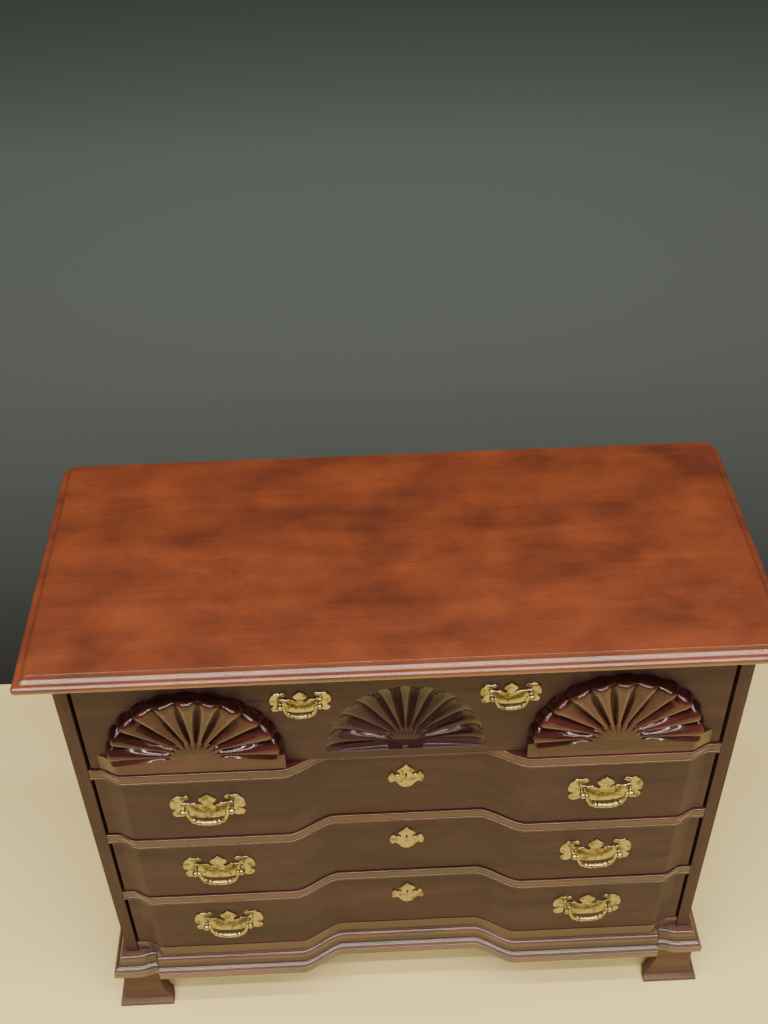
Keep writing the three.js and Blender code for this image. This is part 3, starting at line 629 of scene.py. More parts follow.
def wood_finish(name, grain, light, dark, figure, gloss):
    """Mahogany or poplar. The figure gives its bands, streaks, patches and pores their weight."""
    material, node = new_material(name)
    place = node("ShaderNodeTexCoord", out="Object")

    def layer(along, across, **settings):
        """Noise of a length along the grain and a width across it, in millimetres"""
        scale = [1 / (across * MM)] * 3
        scale[GRAINS[grain]] = 1 / (along * MM)
        stretched = node("ShaderNodeMapping", {"Vector": place, "Scale": scale})
        return node("ShaderNodeTexNoise", {"Vector": stretched, "Scale": 1, **settings})

    # Bands and streaks have their real widths. Pores are about 0.2 mm wide, and drawn 0.8 mm wide to show.
    bands = layer(420, 60, Detail=3, Distortion=0.8)
    streaks = layer(260, 3.2, Detail=4, Roughness=0.6)
    patches = layer(*figure["patch"], Detail=4, Distortion=figure["swirl"])
    pores = layer(11, 0.8, Detail=2)
    blend = node("MULTIPLY", bands, figure["bands"])
    for part, weight in ((streaks, figure["streaks"]), (patches, figure["patches"])):
        blend = node("ADD", blend, node("MULTIPLY", part, weight))
    spread = node("ShaderNodeMapRange", {"Value": blend, "From Min": 0.36, "From Max": 0.64})
    hue = node("ShaderNodeMix", {"data_type": "RGBA", 0: spread, 6: dark, 7: light}, out=2)
    open_pores = node("ShaderNodeMapRange", {
        "Value": pores, "From Min": 0.56, "From Max": 0.68, "To Max": figure["pores"],
    })
    # The groove attribute darkens the colour: between carved lobes partly real stain and wax and partly
    # painted shade, on the edge of an applied shell partly stain and partly painted shade, and in the gutter
    # under the hollow shell and the hollows of the base moulding painted shade. Other pieces have no such
    # attribute, which reads as 0.
    grooves = node("ShaderNodeAttribute", {"attribute_name": "groove"}, out="Fac")
    filled = node("ShaderNodeMapRange", {"Value": grooves, "From Min": 0.45, "From Max": 1})
    for amount, shade in ((open_pores, 0.35), (filled, 0.4)):
        deep = [c * shade for c in dark[:3]] + [1]
        hue = node("ShaderNodeMix", {"data_type": "RGBA", 0: amount, 6: hue, 7: deep}, out=2)
    relief = node("SUBTRACT", node("MULTIPLY", streaks, 0.25), open_pores)
    bump = node("ShaderNodeBump", {"Height": relief, "Strength": gloss["bump"], "Distance": 0.2 * MM})
    smooth, dull = gloss["roughness"] - 0.05, gloss["roughness"] + 0.07
    roughness = node("ShaderNodeMapRange", {"Value": streaks, "To Min": smooth, "To Max": dull})
    # Hands and cloths have rubbed the carving brighter than the flat wood beside it
    carving = node("ShaderNodeAttribute", {"attribute_name": "carving"}, out="Fac")
    roughness = node("ShaderNodeMix", {"Factor": carving, "A": roughness, "B": 0.12})
    shader = node("ShaderNodeBsdfPrincipled", {
        "Base Color": hue, "Roughness": roughness, "Normal": bump, "IOR": 1.45, "Coat IOR": 1.5,
        "Specular IOR Level": gloss["specular"], "Coat Weight": gloss["coat"],
        "Coat Roughness": gloss["coat_roughness"],
    })
    node("ShaderNodeOutputMaterial", {"Surface": shader})
    return material


def brass_finish(name, light, dark):
    """Cast brass, polished by hand: bright, softly uneven, with tarnish left in patches 9 mm across. The
    unevenness of the casting is finer and is drawn 5 mm across to show."""
    material, node = new_material(name)
    place = node("ShaderNodeTexCoord", out="Object")
    cloudy, fine = (
        node("ShaderNodeTexNoise", {"Vector": place, "Scale": 1 / (size * MM), "Detail": detail})
        for size, detail in ((9, 3), (5, 2))
    )
    tarnish = node("ShaderNodeMapRange", {"Value": cloudy, "From Min": 0.48, "From Max": 0.7, "To Max": 0.85})
    shader = node("ShaderNodeBsdfPrincipled", {
        "Metallic": 1,
        "Base Color": node("ShaderNodeMix", {"data_type": "RGBA", 0: tarnish, 6: light, 7: dark}, out=2),
        "Roughness": node("ShaderNodeMapRange", {"Value": cloudy, "To Min": 0.16, "To Max": 0.4}),
        "Normal": node("ShaderNodeBump", {"Height": fine, "Strength": 0.6, "Distance": 0.8 * MM}),
    })
    node("ShaderNodeOutputMaterial", {"Surface": shader})
    return material


class CHEST_OT_finishes(bpy.types.Operator):
    """Makes the materials that the other operators use"""

    bl_idname = "chest.finishes"
    bl_label = "Finishes"

    def execute(self, context):
        hues = context.scene.chest_finishes
        # Polished top: a deep clear coat, on which the lights lie over the figure
        polished = {"roughness": 0.4, "specular": 0.5, "coat": 1.0, "coat_roughness": 0.09, "bump": 0.12}
        # Rubbed lacquer of the fronts, sides and feet: a soft sheen without a clear reflection
        rubbed = {"roughness": 0.42, "specular": 0.25, "coat": 0.0, "coat_roughness": 0.1, "bump": 0.15}
        # Waxed rails: thin bright lines along the beads
        waxed = {"roughness": 0.3, "specular": 0.3, "coat": 0.6, "coat_roughness": 0.09, "bump": 0.1}
        # Base moulding, dusted and rubbed most: clear pale bands along each rounding
        bright = {"roughness": 0.32, "specular": 0.3, "coat": 0.9, "coat_roughness": 0.12, "bump": 0.1}
        # Carved wood: the grooves are darker, partly from real stain and wax and partly painted shade, and
        # hands have worn the ridges to small glints
        worn = {"roughness": 0.25, "specular": 0.2, "coat": 0.45, "coat_roughness": 0.07, "bump": 0.15}
        # Planed poplar, left bare: pale, dull and slightly rough
        bare = {"roughness": 0.62, "specular": 0.4, "coat": 0.0, "coat_roughness": 0.3, "bump": 0.4}
        # Plain, straight and open grain, and the mottle of the top. The sizes of patches are in millimetres.
        plain = {"bands": 0.5, "streaks": 0.3, "patches": 0.2, "patch": (70, 26), "swirl": 1.4, "pores": 0.45}
        straight = {**plain, "bands": 0.4, "streaks": 0.6, "patches": 0.0, "pores": 0.2}
        mottled = {
            "bands": 0.35, "streaks": 0.07, "patches": 0.58, "patch": (95, 70), "swirl": 0.3, "pores": 0.3,
        }
        open_grained = {**plain, "pores": 0.5}
        # Material, way of its grain, colours, figure, gloss and slot
        woods = {
            "top": ("polished_mahogany_top", "x", "top", mottled, polished, "mahogany_top"),
            "front": ("lacquered_mahogany_front", "x", "front", plain, rubbed, "mahogany"),
            "side": ("lacquered_mahogany_side", "z", "front", plain, rubbed, "mahogany"),
            "rail": ("lacquered_mahogany_rail", "x", "rail", plain, waxed, "mahogany_rail"),
            "moulding": ("lacquered_mahogany_moulding", "x", "moulding", plain, bright, "mahogany"),
            "side_moulding": ("lacquered_mahogany_side_moulding", "y", "moulding", plain, bright, "mahogany"),
            "foot": ("lacquered_mahogany_foot", "x", "foot", plain, rubbed, "mahogany"),
            "poplar_across": ("planed_poplar_across", "x", "poplar", straight, bare, "poplar"),
            "poplar_along": ("planed_poplar_along", "y", "poplar", straight, bare, "poplar"),
            "carved": ("carved_mahogany", "x", "carved", open_grained, worn, "mahogany_carved"),
        }
        for key, (name, grain, hue, figure, gloss, slot) in woods.items():
            light, dark = (list(getattr(hues, f"{hue}_{tone}")) for tone in ("light", "dark"))
            FINISHES[key] = (wood_finish(name, grain, light, dark, figure, gloss), slot)
        brass = brass_finish("cast_brass", list(hues.brass_light), list(hues.brass_dark))
        FINISHES["brass"] = (brass, "brass")
        return {"FINISHED"}


class CHEST_OT_top(bpy.types.Operator):
    """Makes the top board with its moulded edge"""

    bl_idname = "chest.top"
    bl_label = "Top board"

    def execute(self, context):
        wood = context.scene.chest_woodwork
        low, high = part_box("top_board")
        thickness = high.z - low.z
        r, fillet, inner = wood.nose_rounding, wood.edge_fillet, wood.edge_width - wood.edge_fillet
        cove = thickness - wood.nose_height - fillet
        profile = np.vstack([
            arc((r, r), (r, r), 270, 180, 4),
            arc((r, wood.nose_height - r), (r, r), 180, 90, 4),
            arc((r + fillet, wood.nose_height + cove), (inner - r - fillet, cove), 270, 360, 10),
            [(wood.edge_width, thickness - fillet)],
            arc((wood.edge_width + fillet / 3, thickness - fillet / 3), (fillet / 3, fillet / 3), 180, 90, 3),
        ])
        corner = arc(
            (high.x - wood.corner_radius, -low.y - wood.corner_radius),
            (wood.corner_radius, wood.corner_radius), 90, 0, 5,
        )
        rings = []
        for inset, height in profile:
            half = np.vstack([corner - inset, [(high.x - inset, -high.y)]])
            rings.append(ring_at(low.z + height, mirrored(half) * (1, -1)))
        fit(loft("moulded_top", rings), "top_board", "top", 50)
        return {"FINISHED"}


class CHEST_OT_case(bpy.types.Operator):
    """Eases the boards of the case and of the drawers' insides"""

    bl_idname = "chest.case"
    bl_label = "Case and drawer boards"

    def execute(self, context):
        width = context.scene.chest_woodwork.easing
        boards = {"top_rail": "rail", "back_panel": "poplar_across", "bottom_board": "poplar_across"}
        boards.update({"case_side_" + side: "side" for side in SIDES})
        boards.update({"runner_frame_" + place: "poplar_along" for place in RAILS})
        for drawer in (1, *BLOCKED):
            boards.update({f"drawer_{drawer}_side_{side}": "poplar_along" for side in SIDES})
            boards.update({f"drawer_{drawer}_{part}": "poplar_across" for part in ("back", "bottom")})
        for node, finish in boards.items():
            piece = merged_copy(node)
            piece.name = "dressed_" + node
            fit(eased(piece, width), node, finish)
        return {"FINISHED"}


class CHEST_OT_rails(bpy.types.Operator):
    """Makes the beaded rails between the drawers"""

    bl_idname = "chest.rails"
    bl_label = "Beaded rails"

    def execute(self, context):
        line, wood = context.scene.chest_line, context.scene.chest_woodwork
        beads = rod_tree()
        r = wood.bead_radius
        values = {"Radius": r, "Swell": 0.0, "Beads": 1.0, "Beaded Share": 1.0, "Sides": 16}
        plan = blocked_plan(line, wood.rail_proud - wood.bead_relief, RAIL_HALF, FRONT + wood.blade_depth)
        path = mirrored(front_half(line, wood.rail_proud - r, RAIL_HALF))
        edges = [(i + k, i + k + 1) for k in (0, len(path)) for i in range(len(path) - 1)]
        for place in RAILS:
            node = "divider_" + place
            low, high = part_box(node)
            rail = loft("beaded_rail_" + place, [ring_at(z, plan) for z in (low.z, high.z)])
            points = np.vstack([ring_at(z, path) for z in (low.z + r, high.z - r)])
            rods = mesh_piece("beads", points, edges)
            grow(rods, beads, {**values, "Material": FINISHES["rail"][0]})
            fit(join(rail, rods), node, "rail", 40)
        return {"FINISHED"}


def base_profile(wood):
    """(reach, height) of the base moulding from its top down: ovolo, cove, small ovolo and lip"""
    profile = np.vstack([
        [(0.08, 1)],
        arc((0.12, 0.9), (0.04, 0.02), 180, 90, 3)[:-1],
        arc((0.12, 0.75), (0.22, 0.16), 90, 0, 8),
        [(0.34, 0.71), (0.38, 0.69)],
        arc((0.64, 0.69), (0.26, 0.22), 180, 262, 8),
        [(0.62, 0.46)],
        arc((0.66, 0.36), (0.22, 0.09), 90, 0, 8),
        [(0.88, 0.33)],
        arc((0.95, 0.28), (0.05, 0.04), 90, 0, 4),
        arc((0.95, 0.03), (0.05, 0.03), 0, -90, 3),
    ])
    return profile * (wood.moulding_reach, wood.moulding_height) + (0, FOOT_HEIGHT)


# Heights of the cove of that profile, in which shade is painted
COVE_SHARES = (0.47, 0.7)
# How much of the scoop beside a corner of the base has painted shade
DARK_SCOOP = 0.65


class CHEST_OT_base(bpy.types.Operator):
    """Makes the base rail and the moulding round the base"""

    bl_idname = "chest.base"
    bl_label = "Base moulding"

    def execute(self, context):
        line, wood = context.scene.chest_line, context.scene.chest_woodwork
        profile = base_profile(wood)
        seat = SIDE_LOW.x - RAIL_HALF
        back = FRONT + wood.moulding_back
        start = CASE_HALF - wood.corner_width
        end = start + wood.scoop_width

        def front_plan(reach):
            corner = CASE_HALF + wood.corner_rise + reach
            face = FRONT - wood.corner_rise - reach
            # A scoop parts the block from the corner: steep at the block, smooth at the corner
            handles = np.array([
                (start, FRONT - reach - line.block_rise), (start, face + 2 * wood.scoop_dip),
                ((start + end) / 2, face), (end, face),
            ])
            t = np.linspace(0, 1, line.steps + 1)[:, None]
            scoop = np.hstack([(1 - t)**3, 3 * (1 - t)**2 * t, 3 * (1 - t) * t**2, t**3]) @ handles
            inner = [
                (corner, face), (CASE_HALF + seat, FRONT - seat),
                (RAIL_HALF, FRONT - seat), (RAIL_HALF, back),
            ]
            return mirrored(np.vstack([recess_bend(line, reach), scoop, inner]))

        front = loft("base_front_moulding", [ring_at(z, front_plan(reach)) for reach, z in profile])
        rail_plan = blocked_plan(line, 0, RAIL_HALF, back)
        rail_levels = (FOOT_HEIGHT + wood.moulding_height / 2, BASE_TOP)
        rail = eased(loft("base_rail", [ring_at(z, rail_plan) for z in rail_levels]), wood.easing)
        fit(rail, "base_front", "rail", 40)
        low, high = (FOOT_HEIGHT + part * wood.moulding_height for part in COVE_SHARES)
        first, last = start + MM, start + MM + wood.scoop_width * DARK_SCOOP
        # Painted shade in the cove of the profile and in the scoop beside each corner
        paint_shade(front, wood.painted_hollow_shade, lambda at: low < at.z < high or first < abs(at.x) < last)
        fit(front, "base_front", "moulding", 40)

        mitre = seat * math.sqrt(2)
        for side, sign in SIDES.items():
            rings = []
            for reach, z in profile:
                out = CASE_HALF + wood.corner_rise + reach
                plan = [
                    (CASE_HALF + seat, FRONT - seat + mitre),
                    (out, FRONT - wood.corner_rise - reach + mitre),
                    (out, REAR),
                    (CASE_HALF + seat, REAR),
                ]
                rings.append(ring_at(z, np.array(plan) * (sign, 1)))
            moulding = loft("base_side_moulding_" + side, rings)
            # Painted shade in the cove
            paint_shade(moulding, wood.painted_hollow_shade, lambda at: low < at.z < high)
            fit(moulding, "base_moulding_" + side, "side_moulding", 40)
        return {"FINISHED"}


class CHEST_OT_feet(bpy.types.Operator):
    """Makes the flared bracket feet"""

    bl_idname = "chest.feet"
    bl_label = "Bracket feet"

    def execute(self, context):
        wood = context.scene.chest_woodwork
        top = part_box("front_foot_left")[1].z
        thick = wood.foot_thickness
        t = np.linspace(0, 1, 15)
        toe = (1 - t) ** 2
        # Height, reach and length of each level: the toe, the flare and the neck
        levels = [(z, wood.toe_reach, wood.toe_length) for z in (0, wood.toe_height * 0.7)]
        levels += zip(
            wood.toe_height + (wood.foot_curve - wood.toe_height) * t,
            wood.neck_reach + (wood.toe_reach - wood.neck_reach) * toe / 3,
            wood.neck_length + (wood.toe_length - wood.neck_length) * toe * 2 / 3,
        )
        levels.append((top, wood.neck_reach, wood.neck_length))
        for end, way in (("front", 1), ("rear", -1)):
            for side, sign in SIDES.items():
                rings = []
                for z, reach, size in levels:
                    out = CASE_HALF + reach
                    face = FRONT - reach if end == "front" else REAR
                    plan = [
                        (out, face), (out, face + way * size),
                        (out - thick, face + way * size), (out - thick, face + way * thick),
                        (out - size, face + way * thick), (out - size, face),
                    ]
                    rings.append(ring_at(z, np.array(plan) * (sign, 1)))
                foot = eased(loft(f"bracket_foot_{end}_{side}", rings), wood.easing)
                fit(foot, f"{end}_foot_{side}", "foot", 30)
        return {"FINISHED"}


def keyhole_cutter(brass, y0, y1, z):
    """The shape of a keyhole between two depths, about a plate's middle at z"""
    centre = z + brass.key_rise
    half_slot = brass.key_slot / 2
    start = math.degrees(math.asin(half_slot / brass.key_radius))
    round_part = arc((0, centre), (brass.key_radius, brass.key_radius), start - 90, 270 - start, 20)
    low = z + brass.key_rise - brass.key_drop
    outline = np.vstack([[(half_slot, low)], round_part, [(-half_slot, low)]])
    return loft("cut_keyhole", [upright_ring(y, outline) for y in (y0, y1)])


def joint_cutters(drawer):
    """Cutters for the dovetails and the groove in the back of a drawer front"""
    return [merged_copy(f"drawer_{drawer}_{part}") for part in ("side_left", "side_right", "bottom")]


class CHEST_OT_fronts(bpy.types.Operator):
    """Makes the three blocked drawer fronts"""

    bl_idname = "chest.fronts"
    bl_label = "Blocked drawer fronts"

    def execute(self, context):
        scene = context.scene
        line, wood, brass = scene.chest_line, scene.chest_woodwork, scene.chest_brasses
        plan = blocked_plan(line, 0, DRAWER_HALF, DRAWER_REAR_OF_FRONT)
        face = FRONT + line.recess_fall
        for drawer in BLOCKED:
            low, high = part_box(f"drawer_{drawer}_front")
            board = loft(f"blocked_front_{drawer}", [ring_at(z, plan) for z in (low.z, high.z)])
            board = eased(board, wood.front_easing, 3)
            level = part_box(f"drawer_{drawer}_escutcheon")[1].z - brass.escutcheon_crest
            key = keyhole_cutter(brass, face - 5 * MM, face + brass.key_depth, level)
            fit(cut(board, [*joint_cutters(drawer), key]), f"drawer_{drawer}_front", "front", 30)
        return {"FINISHED"}


# Heights of the shells as shares of their crest or depth, from the boss to the edge
SHELL_RIDGE = [
    (0, 0.68), (0.12, 0.68), (0.17, 0.65), (0.2, 0.6), (0.24, 0.6), (0.5, 0.76), (0.8, 0.95), (0.91, 1),
    (0.94, 0.96), (0.96, 0.8), (0.975, 0.55), (1, 0.05),
]
SHELL_GROOVE = [
    (0, 0.68), (0.12, 0.68), (0.17, 0.64), (0.22, 0.5), (0.3, 0.33), (0.5, 0.34), (0.8, 0.5), (0.91, 0.58),
    (0.94, 0.55), (0.96, 0.42), (0.975, 0.3), (1, 0.05),
]
HOLLOW_REED = [
    (0, 0.5), (0.1, 0.53), (0.2, 0.68), (0.3, 0.68), (0.5, 0.56), (0.75, 0.37), (0.9, 0.2), (1, 0.04),
]
HOLLOW_BOWL = [
    (0, 0.5), (0.1, 0.53), (0.2, 0.8), (0.3, 0.98), (0.5, 1), (0.75, 0.88), (0.9, 0.52), (1, 0.05),
]


class CHEST_OT_shells(bpy.types.Operator):
    """Carves the upper drawer: the hollow shell in its front and the two applied shells"""

    bl_idname = "chest.shells"
    bl_label = "Carved shells"

    def execute(self, context):
        scene = context.scene
        line, wood, carve = scene.chest_line, scene.chest_woodwork, scene.chest_carving
        low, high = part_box("drawer_1_front")
        face = FRONT + line.margin_fall
        shared = {
            "Lobes": float(carve.lobes), "Fold": carve.fold, "Scallop": carve.scallop, "Rows": carve.rows,
            "Columns": carve.lobes * carve.lobe_steps, "Material": FINISHES["carved"][0],
        }
        tree = fan_tree("Applied shell", SHELL_RIDGE, SHELL_GROOVE, 2)
        block = margin_bend(line, 0) - (carve.shell_centre, face)
        inner = [(-carve.shell_half, 0), (-carve.shell_half, -line.block_rise - line.margin_fall)]
        plan = np.vstack([inner, block])
        values = {
            "Half Width": carve.shell_half, "Rise": carve.shell_rise, "Height": carve.shell_crest,
            "Back": 0.0, "Boss Spread": carve.shell_boss, "Edge Stain": carve.edge_stain, "Gutter": 0.0,
        }
        for side, sign in SIDES.items():
            shell = mesh_piece("applied_shell_" + side, [(0, 0, 0)])
            grow(shell, tree, {**shared, **values})
            plinth = loft("plinth", [ring_at(z, plan) for z in (-carve.plinth_height, 0)])
            join(shell, eased(plinth, wood.easing, 3))
            shell.data.transform(Matrix.Diagonal((sign, 1, 1, 1)))
            if sign < 0:
                shell.data.flip_normals()
            # Glued on, and let into the board by 0.3 mm at most
            move(shell, (sign * carve.shell_centre, face - 0.3 * MM, low.z + carve.plinth_height))
            fit(shell, "drawer_1_shell_" + side, "carved", 30)

        tree = fan_tree("Hollow shell", HOLLOW_REED, HOLLOW_BOWL, 1)
        values = {
            "Half Width": carve.hollow_half, "Rise": carve.hollow_rise, "Height": -carve.hollow_depth,
            "Back": -1 * MM, "Boss Spread": carve.hollow_boss, "Edge Stain": 0.0, "Gutter": carve.gutter,
        }
        hollow = grow(mesh_piece("cut_hollow", [(0, 0, 0)]), tree, {**shared, **values})
        tidy_mesh(hollow.data)
        move(hollow, (0, face, low.z + carve.hollow_ground))
        corners = np.array([(low.x, face), (high.x, face), (high.x, high.y), (low.x, high.y)])
        board = loft("carved_front", [ring_at(z, corners) for z in (low.z, high.z)])
        board = cut(eased(board, wood.front_easing, 3), [*joint_cutters(1), hollow])
        fit(board, "drawer_1_front", "front", 30)
        return {"FINISHED"}


def smooth_outline(points, steps):
    """Half an outline through (x, z, corner) points, rounded between its corners and at its foot"""
    places = np.array([p[:2] for p in points], float)
    places = np.vstack([places, places[-2] * (-1, 1)])
    out = []
    for i in range(len(points) - 1):
        a, b = places[i], places[i + 1]
        before = a if points[i][2] else places[i - 1]
        after = b if points[i + 1][2] else places[i + 2]
        t = np.linspace(0, 1, steps, endpoint=False)[:, None]
        tangent_a, tangent_b = (b - before) / 2, (after - a) / 2
        out.append(
            (2 * t**3 - 3 * t**2 + 1) * a + (t**3 - 2 * t**2 + t) * tangent_a
            + (3 * t**2 - 2 * t**3) * b + (t**3 - t**2) * tangent_b
        )
    return np.vstack([*out, places[-2:-1]])


def plate_mesh(name, half, thickness, bevel):
    """A bevelled plate from the right half of its outline, lying in the xz plane with its back at y 0"""
    outline = np.vstack([half, half[-2:0:-1] * (-1, 1)])
    along = np.roll(outline, -1, 0) - np.roll(outline, 1, 0)
    inwards = np.column_stack([along[:, 1], -along[:, 0]])
    inwards /= np.linalg.norm(inwards, axis=1)[:, None]
    # Half the width of the plate at each point: the radius of the largest circle inside that touches it there
    to_others = outline[None, :, :] - outline[:, None, :]
    ahead = 2 * np.einsum("ijk,ik->ij", to_others, inwards)
    radius = np.where(ahead > 1e-9, np.sum(to_others**2, axis=2) / np.maximum(ahead, 1e-9), 1).min(axis=1)
    room = inwards * np.minimum(1, 0.9 * radius / bevel)[:, None]
    levels = ((0, 0), (thickness - bevel, 0), (thickness - bevel * 0.35, bevel * 0.5), (thickness, bevel))
    return loft(name, [upright_ring(-depth, outline + room * inset) for depth, inset in levels])


# Right half of a pull plate, from the tip of its crest down: shares of its half width and crest, and
# whether the outline has a corner there
PULL_SHARES = [
    (0, 1, 1), (0.07, 0.86, 0), (0.17, 0.68, 0), (0.235, 0.47, 0), (0.2, 0.29, 0), (0.13, 0.12, 0),
    (0.17, 0.0, 1), (0.25, 0.1, 0), (0.34, 0.2, 0), (0.41, 0.17, 1), (0.48, 0.18, 0), (0.57, 0.24, 0),
    (0.66, 0.28, 1), (0.6, 0.42, 0), (0.5, 0.56, 0), (0.46, 0.72, 0), (0.52, 0.86, 0), (0.62, 0.8, 1),
    (0.68, 0.8, 0), (0.77, 0.84, 0), (0.87, 0.74, 0), (0.96, 0.44, 0), (1, 0.06, 0), (0.97, -0.2, 0),
    (0.86, -0.32, 1), (0.93, -0.46, 0), (0.97, -0.68, 0), (0.89, -0.93, 0), (0.74, -0.93, 0),
    (0.62, -0.76, 1), (0.5, -0.88, 0), (0.34, -1.05, 0), (0.16, -1.12, 0), (0, -1.13, 0),
]
# The same for an escutcheon
ESCUTCHEON_SHARES = [
    (0, 1, 1), (0.12, 0.84, 0), (0.3, 0.68, 0), (0.46, 0.5, 0), (0.5, 0.38, 1), (0.38, 0.3, 0),
    (0.33, 0.2, 0), (0.42, 0.12, 0), (0.58, 0.14, 0), (0.68, 0.24, 0), (0.73, 0.38, 1), (0.84, 0.26, 0),
    (0.96, 0.02, 0), (1, -0.2, 1), (0.94, -0.4, 0), (0.84, -0.48, 0), (0.66, -0.38, 1), (0.5, -0.54, 0),
    (0.34, -0.76, 0), (0.16, -0.89, 0), (0, -0.92, 0),
]
# The four pins of an escutcheon
PIN_SHARES = [(0, 0.72), (0.74, -0.12), (-0.74, -0.12), (0, -0.7)]
# Radius at the closed end of a turned piece, too small to see
TIP = 1e-5
# How full the curve of a bail is, from 1, an ellipse, down
FULLNESS = 0.85


def turned(name, profile, sides):
    """A turned shape about the y axis from (radius, forward) points"""
    circle = arc((0, 0), (1, 1), 0, 360, sides)[:-1]
    return loft(name, [upright_ring(-forward, r * circle) for r, forward in profile])


def post_piece(stand, ball, thickness):
    """A turned post: a collar on the plate, a waist and a ball"""
    waist = 0.6 * ball
    profile = [
        (TIP, thickness * 0.5), (ball, thickness * 0.5), (ball, thickness + 0.5 * MM),
        (ball * 0.86, thickness + 1.1 * MM), (waist, thickness + 1.7 * MM), (waist, stand - ball * 0.95),
        (waist * 1.2, stand - ball * 0.86), *arc((0, stand), (ball, ball), -50, 88, 12),
    ]
    return turned("post", profile, 24)


def bail_path(half_boring, shoulder, half_width, drop, reach):
    """Points (x, z) of a bail from the end of one pin to the other"""
    angles = np.linspace(0, math.pi / 2, 26)[1:]
    curve = np.column_stack([half_width * np.cos(angles) ** FULLNESS, -drop * np.sin(angles) ** FULLNESS])
    curve[-1] = (0, -drop)
    turn = 0.6 * MM
    elbow = arc((half_width + turn, -turn), (turn, turn), 90, 180, 3)
    half = np.vstack([[(half_boring + reach, 0), (shoulder, 0)], elbow, curve])
    return np.vstack([half[:-1], half[::-1] * (-1, 1)])


class CHEST_OT_pulls(bpy.types.Operator):
    """Makes the plates, posts and bails of the eight pulls"""

    bl_idname = "chest.pulls"
    bl_label = "Bail pulls"

    def execute(self, context):
        brass = context.scene.chest_brasses
        material = FINISHES["brass"][0]
        fasteners, rods = fastener_tree(), rod_tree()
        for drawer in (1, *BLOCKED):
            size, boring, ball, rod = 1, brass.large_boring, brass.large_ball, brass.large_rod
            stand = brass.large_stand
            if drawer == 1:
                size, stand = brass.small_scale, brass.small_stand
                boring *= brass.small_boring
                ball *= brass.small_ball
                rod *= brass.small_rod
            post = post_piece(stand, ball, brass.plate_thickness)
            # The bail clears its balls, and turns down just inside them
            shoulder, half_width = boring / 2 - ball - 0.2 * MM, boring / 2 - ball - 1.2 * MM * size
            path = bail_path(boring / 2, shoulder, half_width, brass.large_drop * size, brass.pin_reach)
            values = {
                "Radius": rod, "Swell": brass.bail_swell * size, "Beads": float(brass.bail_beads),
                "Beaded Share": 0.5, "Sides": 20, "Material": material,
            }
            half = smooth_outline(PULL_SHARES, 5) * (brass.large_width * size / 2, brass.large_crest * size)
            for side in SIDES:
                node = f"drawer_{drawer}_pull_plate_{side}"
                low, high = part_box(node)
                place = Vector(((low.x + high.x) / 2, high.y, high.z - brass.large_crest * size))
                name = f"pull_plate_{drawer}_{side}"
                plate = plate_mesh(name, half, brass.plate_thickness, brass.plate_bevel)
                ends = mesh_piece("post_places", [(-boring / 2, 0, 0), (boring / 2, 0, 0)])
                join(plate, grow(ends, fasteners, {"Fastener": post, "Material": material}))
                move(plate, place)
                fit(plate, node, "brass", 30)

                points = [(x, 0, z) for x, z in path]
                bail = mesh_piece(f"bail_{drawer}_{side}", points, [(i, i + 1) for i in range(len(path) - 1)])
                move(grow(bail, rods, values), place - Vector((0, stand, 0)))
                fit(bail, f"drawer_{drawer}_bail_{side}", "brass", 60)
            bpy.data.objects.remove(post)
        return {"FINISHED"}


class CHEST_OT_escutcheons(bpy.types.Operator):
    """Makes the three escutcheons and their pins"""

    bl_idname = "chest.escutcheons"
    bl_label = "Escutcheons"

    def execute(self, context):
        brass = context.scene.chest_brasses
        thickness = brass.plate_thickness
        values = {"Material": FINISHES["brass"][0], "Fastener": turned("pin", [
            (TIP, thickness * 0.5), (0.9 * MM, thickness), (0.7 * MM, thickness + 0.35 * MM),
            (0.35 * MM, thickness + 0.55 * MM), (TIP, thickness + 0.6 * MM),
        ], 10)}
        fasteners = fastener_tree()
        scale = np.array((brass.escutcheon_width / 2, brass.escutcheon_crest))
        for drawer in BLOCKED:
            node = f"drawer_{drawer}_escutcheon"
            low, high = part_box(node)
            half = smooth_outline(ESCUTCHEON_SHARES, 5) * scale
            plate = plate_mesh(f"escutcheon_{drawer}", half, thickness, brass.plate_bevel)
            cut(plate, [keyhole_cutter(brass, -5 * MM, 5 * MM, 0)])
            places = mesh_piece("pin_places", [(x, 0, z) for x, z in PIN_SHARES * scale])
            join(plate, grow(places, fasteners, values))
            move(plate, (0, high.y, high.z - brass.escutcheon_crest))
            fit(plate, node, "brass", 30)
        bpy.data.objects.remove(values["Fastener"])
        return {"FINISHED"}


# The tube lights across the ceiling: place and point lit along y, depth in metres and power in watts
TUBES = [
    (0.05, 0.05, 0.12, 58), (-0.5, -0.5, 0.12, 95), (-1.3, -1.3, 0.1, 130), (-2.2, -2.0, 0.1, 120),
    (-3.2, -2.8, 0.1, 130),
]


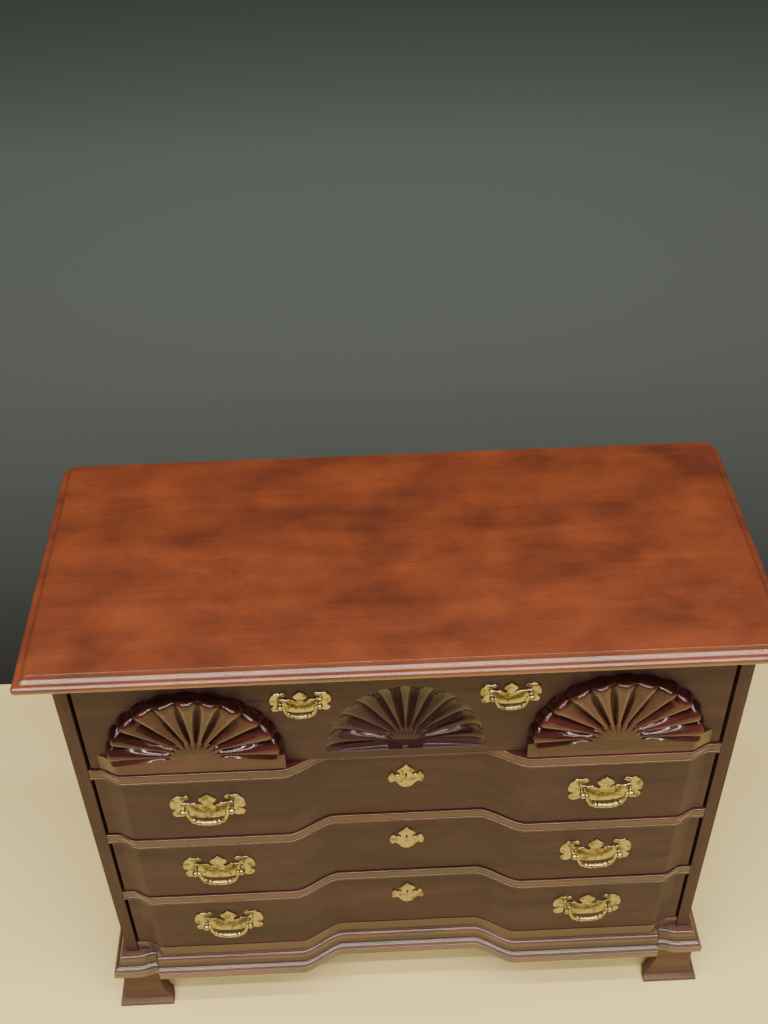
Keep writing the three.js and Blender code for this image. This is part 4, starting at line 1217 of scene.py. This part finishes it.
class CHEST_OT_stage(bpy.types.Operator):
    """Makes the camera, the floor and the lights"""

    bl_idname = "chest.stage"
    bl_label = "Stage"

    def execute(self, context):
        stage = context.scene.chest_stage
        self.add_camera(context, stage)
        self.add_floor(stage)
        world = bpy.data.worlds.new("studio")
        world.use_nodes = True
        sky = world.node_tree.nodes["Background"].inputs
        sky["Color"].default_value, sky["Strength"].default_value = stage.sky_colour, stage.sky
        context.scene.world = world
        for number, (y, lit, depth, power) in enumerate(TUBES, 1):
            light = bpy.data.lights.new(f"tube_{number}", "AREA")
            light.color = stage.light_colour[:3]
            light.shape = "RECTANGLE"
            light.size, light.size_y, light.energy = stage.light_length, depth, power
            lamp = add_object(light.name, light)
            lamp.location = (0, y, stage.light_height)
            way = Vector((0, lit - y, -stage.light_height))
            lamp.rotation_euler = way.to_track_quat("-Z", "Y").to_euler()
        return {"FINISHED"}

    def add_floor(self, stage):
        """A painted floor, dull: pale round the chest, and behind it a painted shadow, darkest close to the
        chest, that lightens to a dark floor far behind
        """
        wide = stage.floor_size
        corners = [(-wide, -wide, 0), (wide, -wide, 0), (wide, wide, 0), (-wide, wide, 0)]
        floor = mesh_piece("floor", corners, faces=[(0, 1, 2, 3)])
        material, node = new_material("painted_floor")
        y = node("ShaderNodeSeparateXYZ", node("ShaderNodeTexCoord", out="Object"), out="Y")
        reach = {"Value": y, "From Min": stage.floor_back, "From Max": stage.floor_far}
        far, near = node("ShaderNodeMapRange", reach), node("LESS_THAN", y, stage.floor_back)
        mix = {"data_type": "RGBA", 0: far, 6: stage.shade_colour, 7: stage.ground_colour}
        behind = node("ShaderNodeMix", mix, out=2)
        mix = {"data_type": "RGBA", 0: near, 6: behind, 7: stage.floor_colour}
        hue = node("ShaderNodeMix", mix, out=2)
        shader = node("ShaderNodeBsdfPrincipled", {"Base Color": hue, "Roughness": 0.75})
        node("ShaderNodeOutputMaterial", {"Surface": shader})
        floor.data.materials.append(material)

    def add_camera(self, context, stage):
        yaw, pitch, roll = stage.camera_yaw, stage.camera_pitch, stage.camera_roll
        forward = Vector((math.sin(yaw) * math.cos(pitch), math.cos(yaw) * math.cos(pitch), -math.sin(pitch)))
        level = Vector((math.cos(yaw), -math.sin(yaw), 0))
        upright = level.cross(forward)
        right = math.cos(roll) * level + math.sin(roll) * upright
        up = math.cos(roll) * upright - math.sin(roll) * level
        data = bpy.data.cameras.new("camera")
        data.lens = stage.camera_lens
        data.clip_end = 50
        camera = add_object("camera", data)
        turn = Matrix((right, up, -forward)).transposed().to_4x4()
        camera.matrix_world = Matrix.Translation(stage.camera_place) @ turn
        context.scene.camera = camera


OPERATORS = [
    CHEST_OT_finishes, CHEST_OT_top, CHEST_OT_case, CHEST_OT_rails, CHEST_OT_base, CHEST_OT_feet,
    CHEST_OT_fronts, CHEST_OT_shells, CHEST_OT_pulls, CHEST_OT_escutcheons, CHEST_OT_stage,
]
GROUPS = {
    "chest_line": ChestLine,
    "chest_woodwork": ChestWoodwork,
    "chest_carving": ChestCarving,
    "chest_brasses": ChestBrasses,
    "chest_finishes": ChestFinishes,
    "chest_stage": ChestStage,
}


class CHEST_PT_panel(bpy.types.Panel):
    """Lists the operators that build the chest"""

    bl_idname = "CHEST_PT_panel"
    bl_label = "Block Front Chest"
    bl_space_type = "VIEW_3D"
    bl_region_type = "UI"
    bl_category = "Chest"

    def draw(self, context):
        for operator in OPERATORS:
            self.layout.operator(operator.bl_idname)


def register():
    for each in [*GROUPS.values(), *OPERATORS, CHEST_PT_panel]:
        bpy.utils.register_class(each)
    for name, group in GROUPS.items():
        setattr(bpy.types.Scene, name, bpy.props.PointerProperty(type=group))


def unregister():
    for name in GROUPS:
        delattr(bpy.types.Scene, name)
    for each in [CHEST_PT_panel, *reversed(OPERATORS), *reversed(GROUPS.values())]:
        bpy.utils.unregister_class(each)


def main():
    register()
    for operator in OPERATORS:
        group, name = operator.bl_idname.split(".")
        getattr(getattr(bpy.ops, group), name)()


if __name__ == "__main__":
    main()
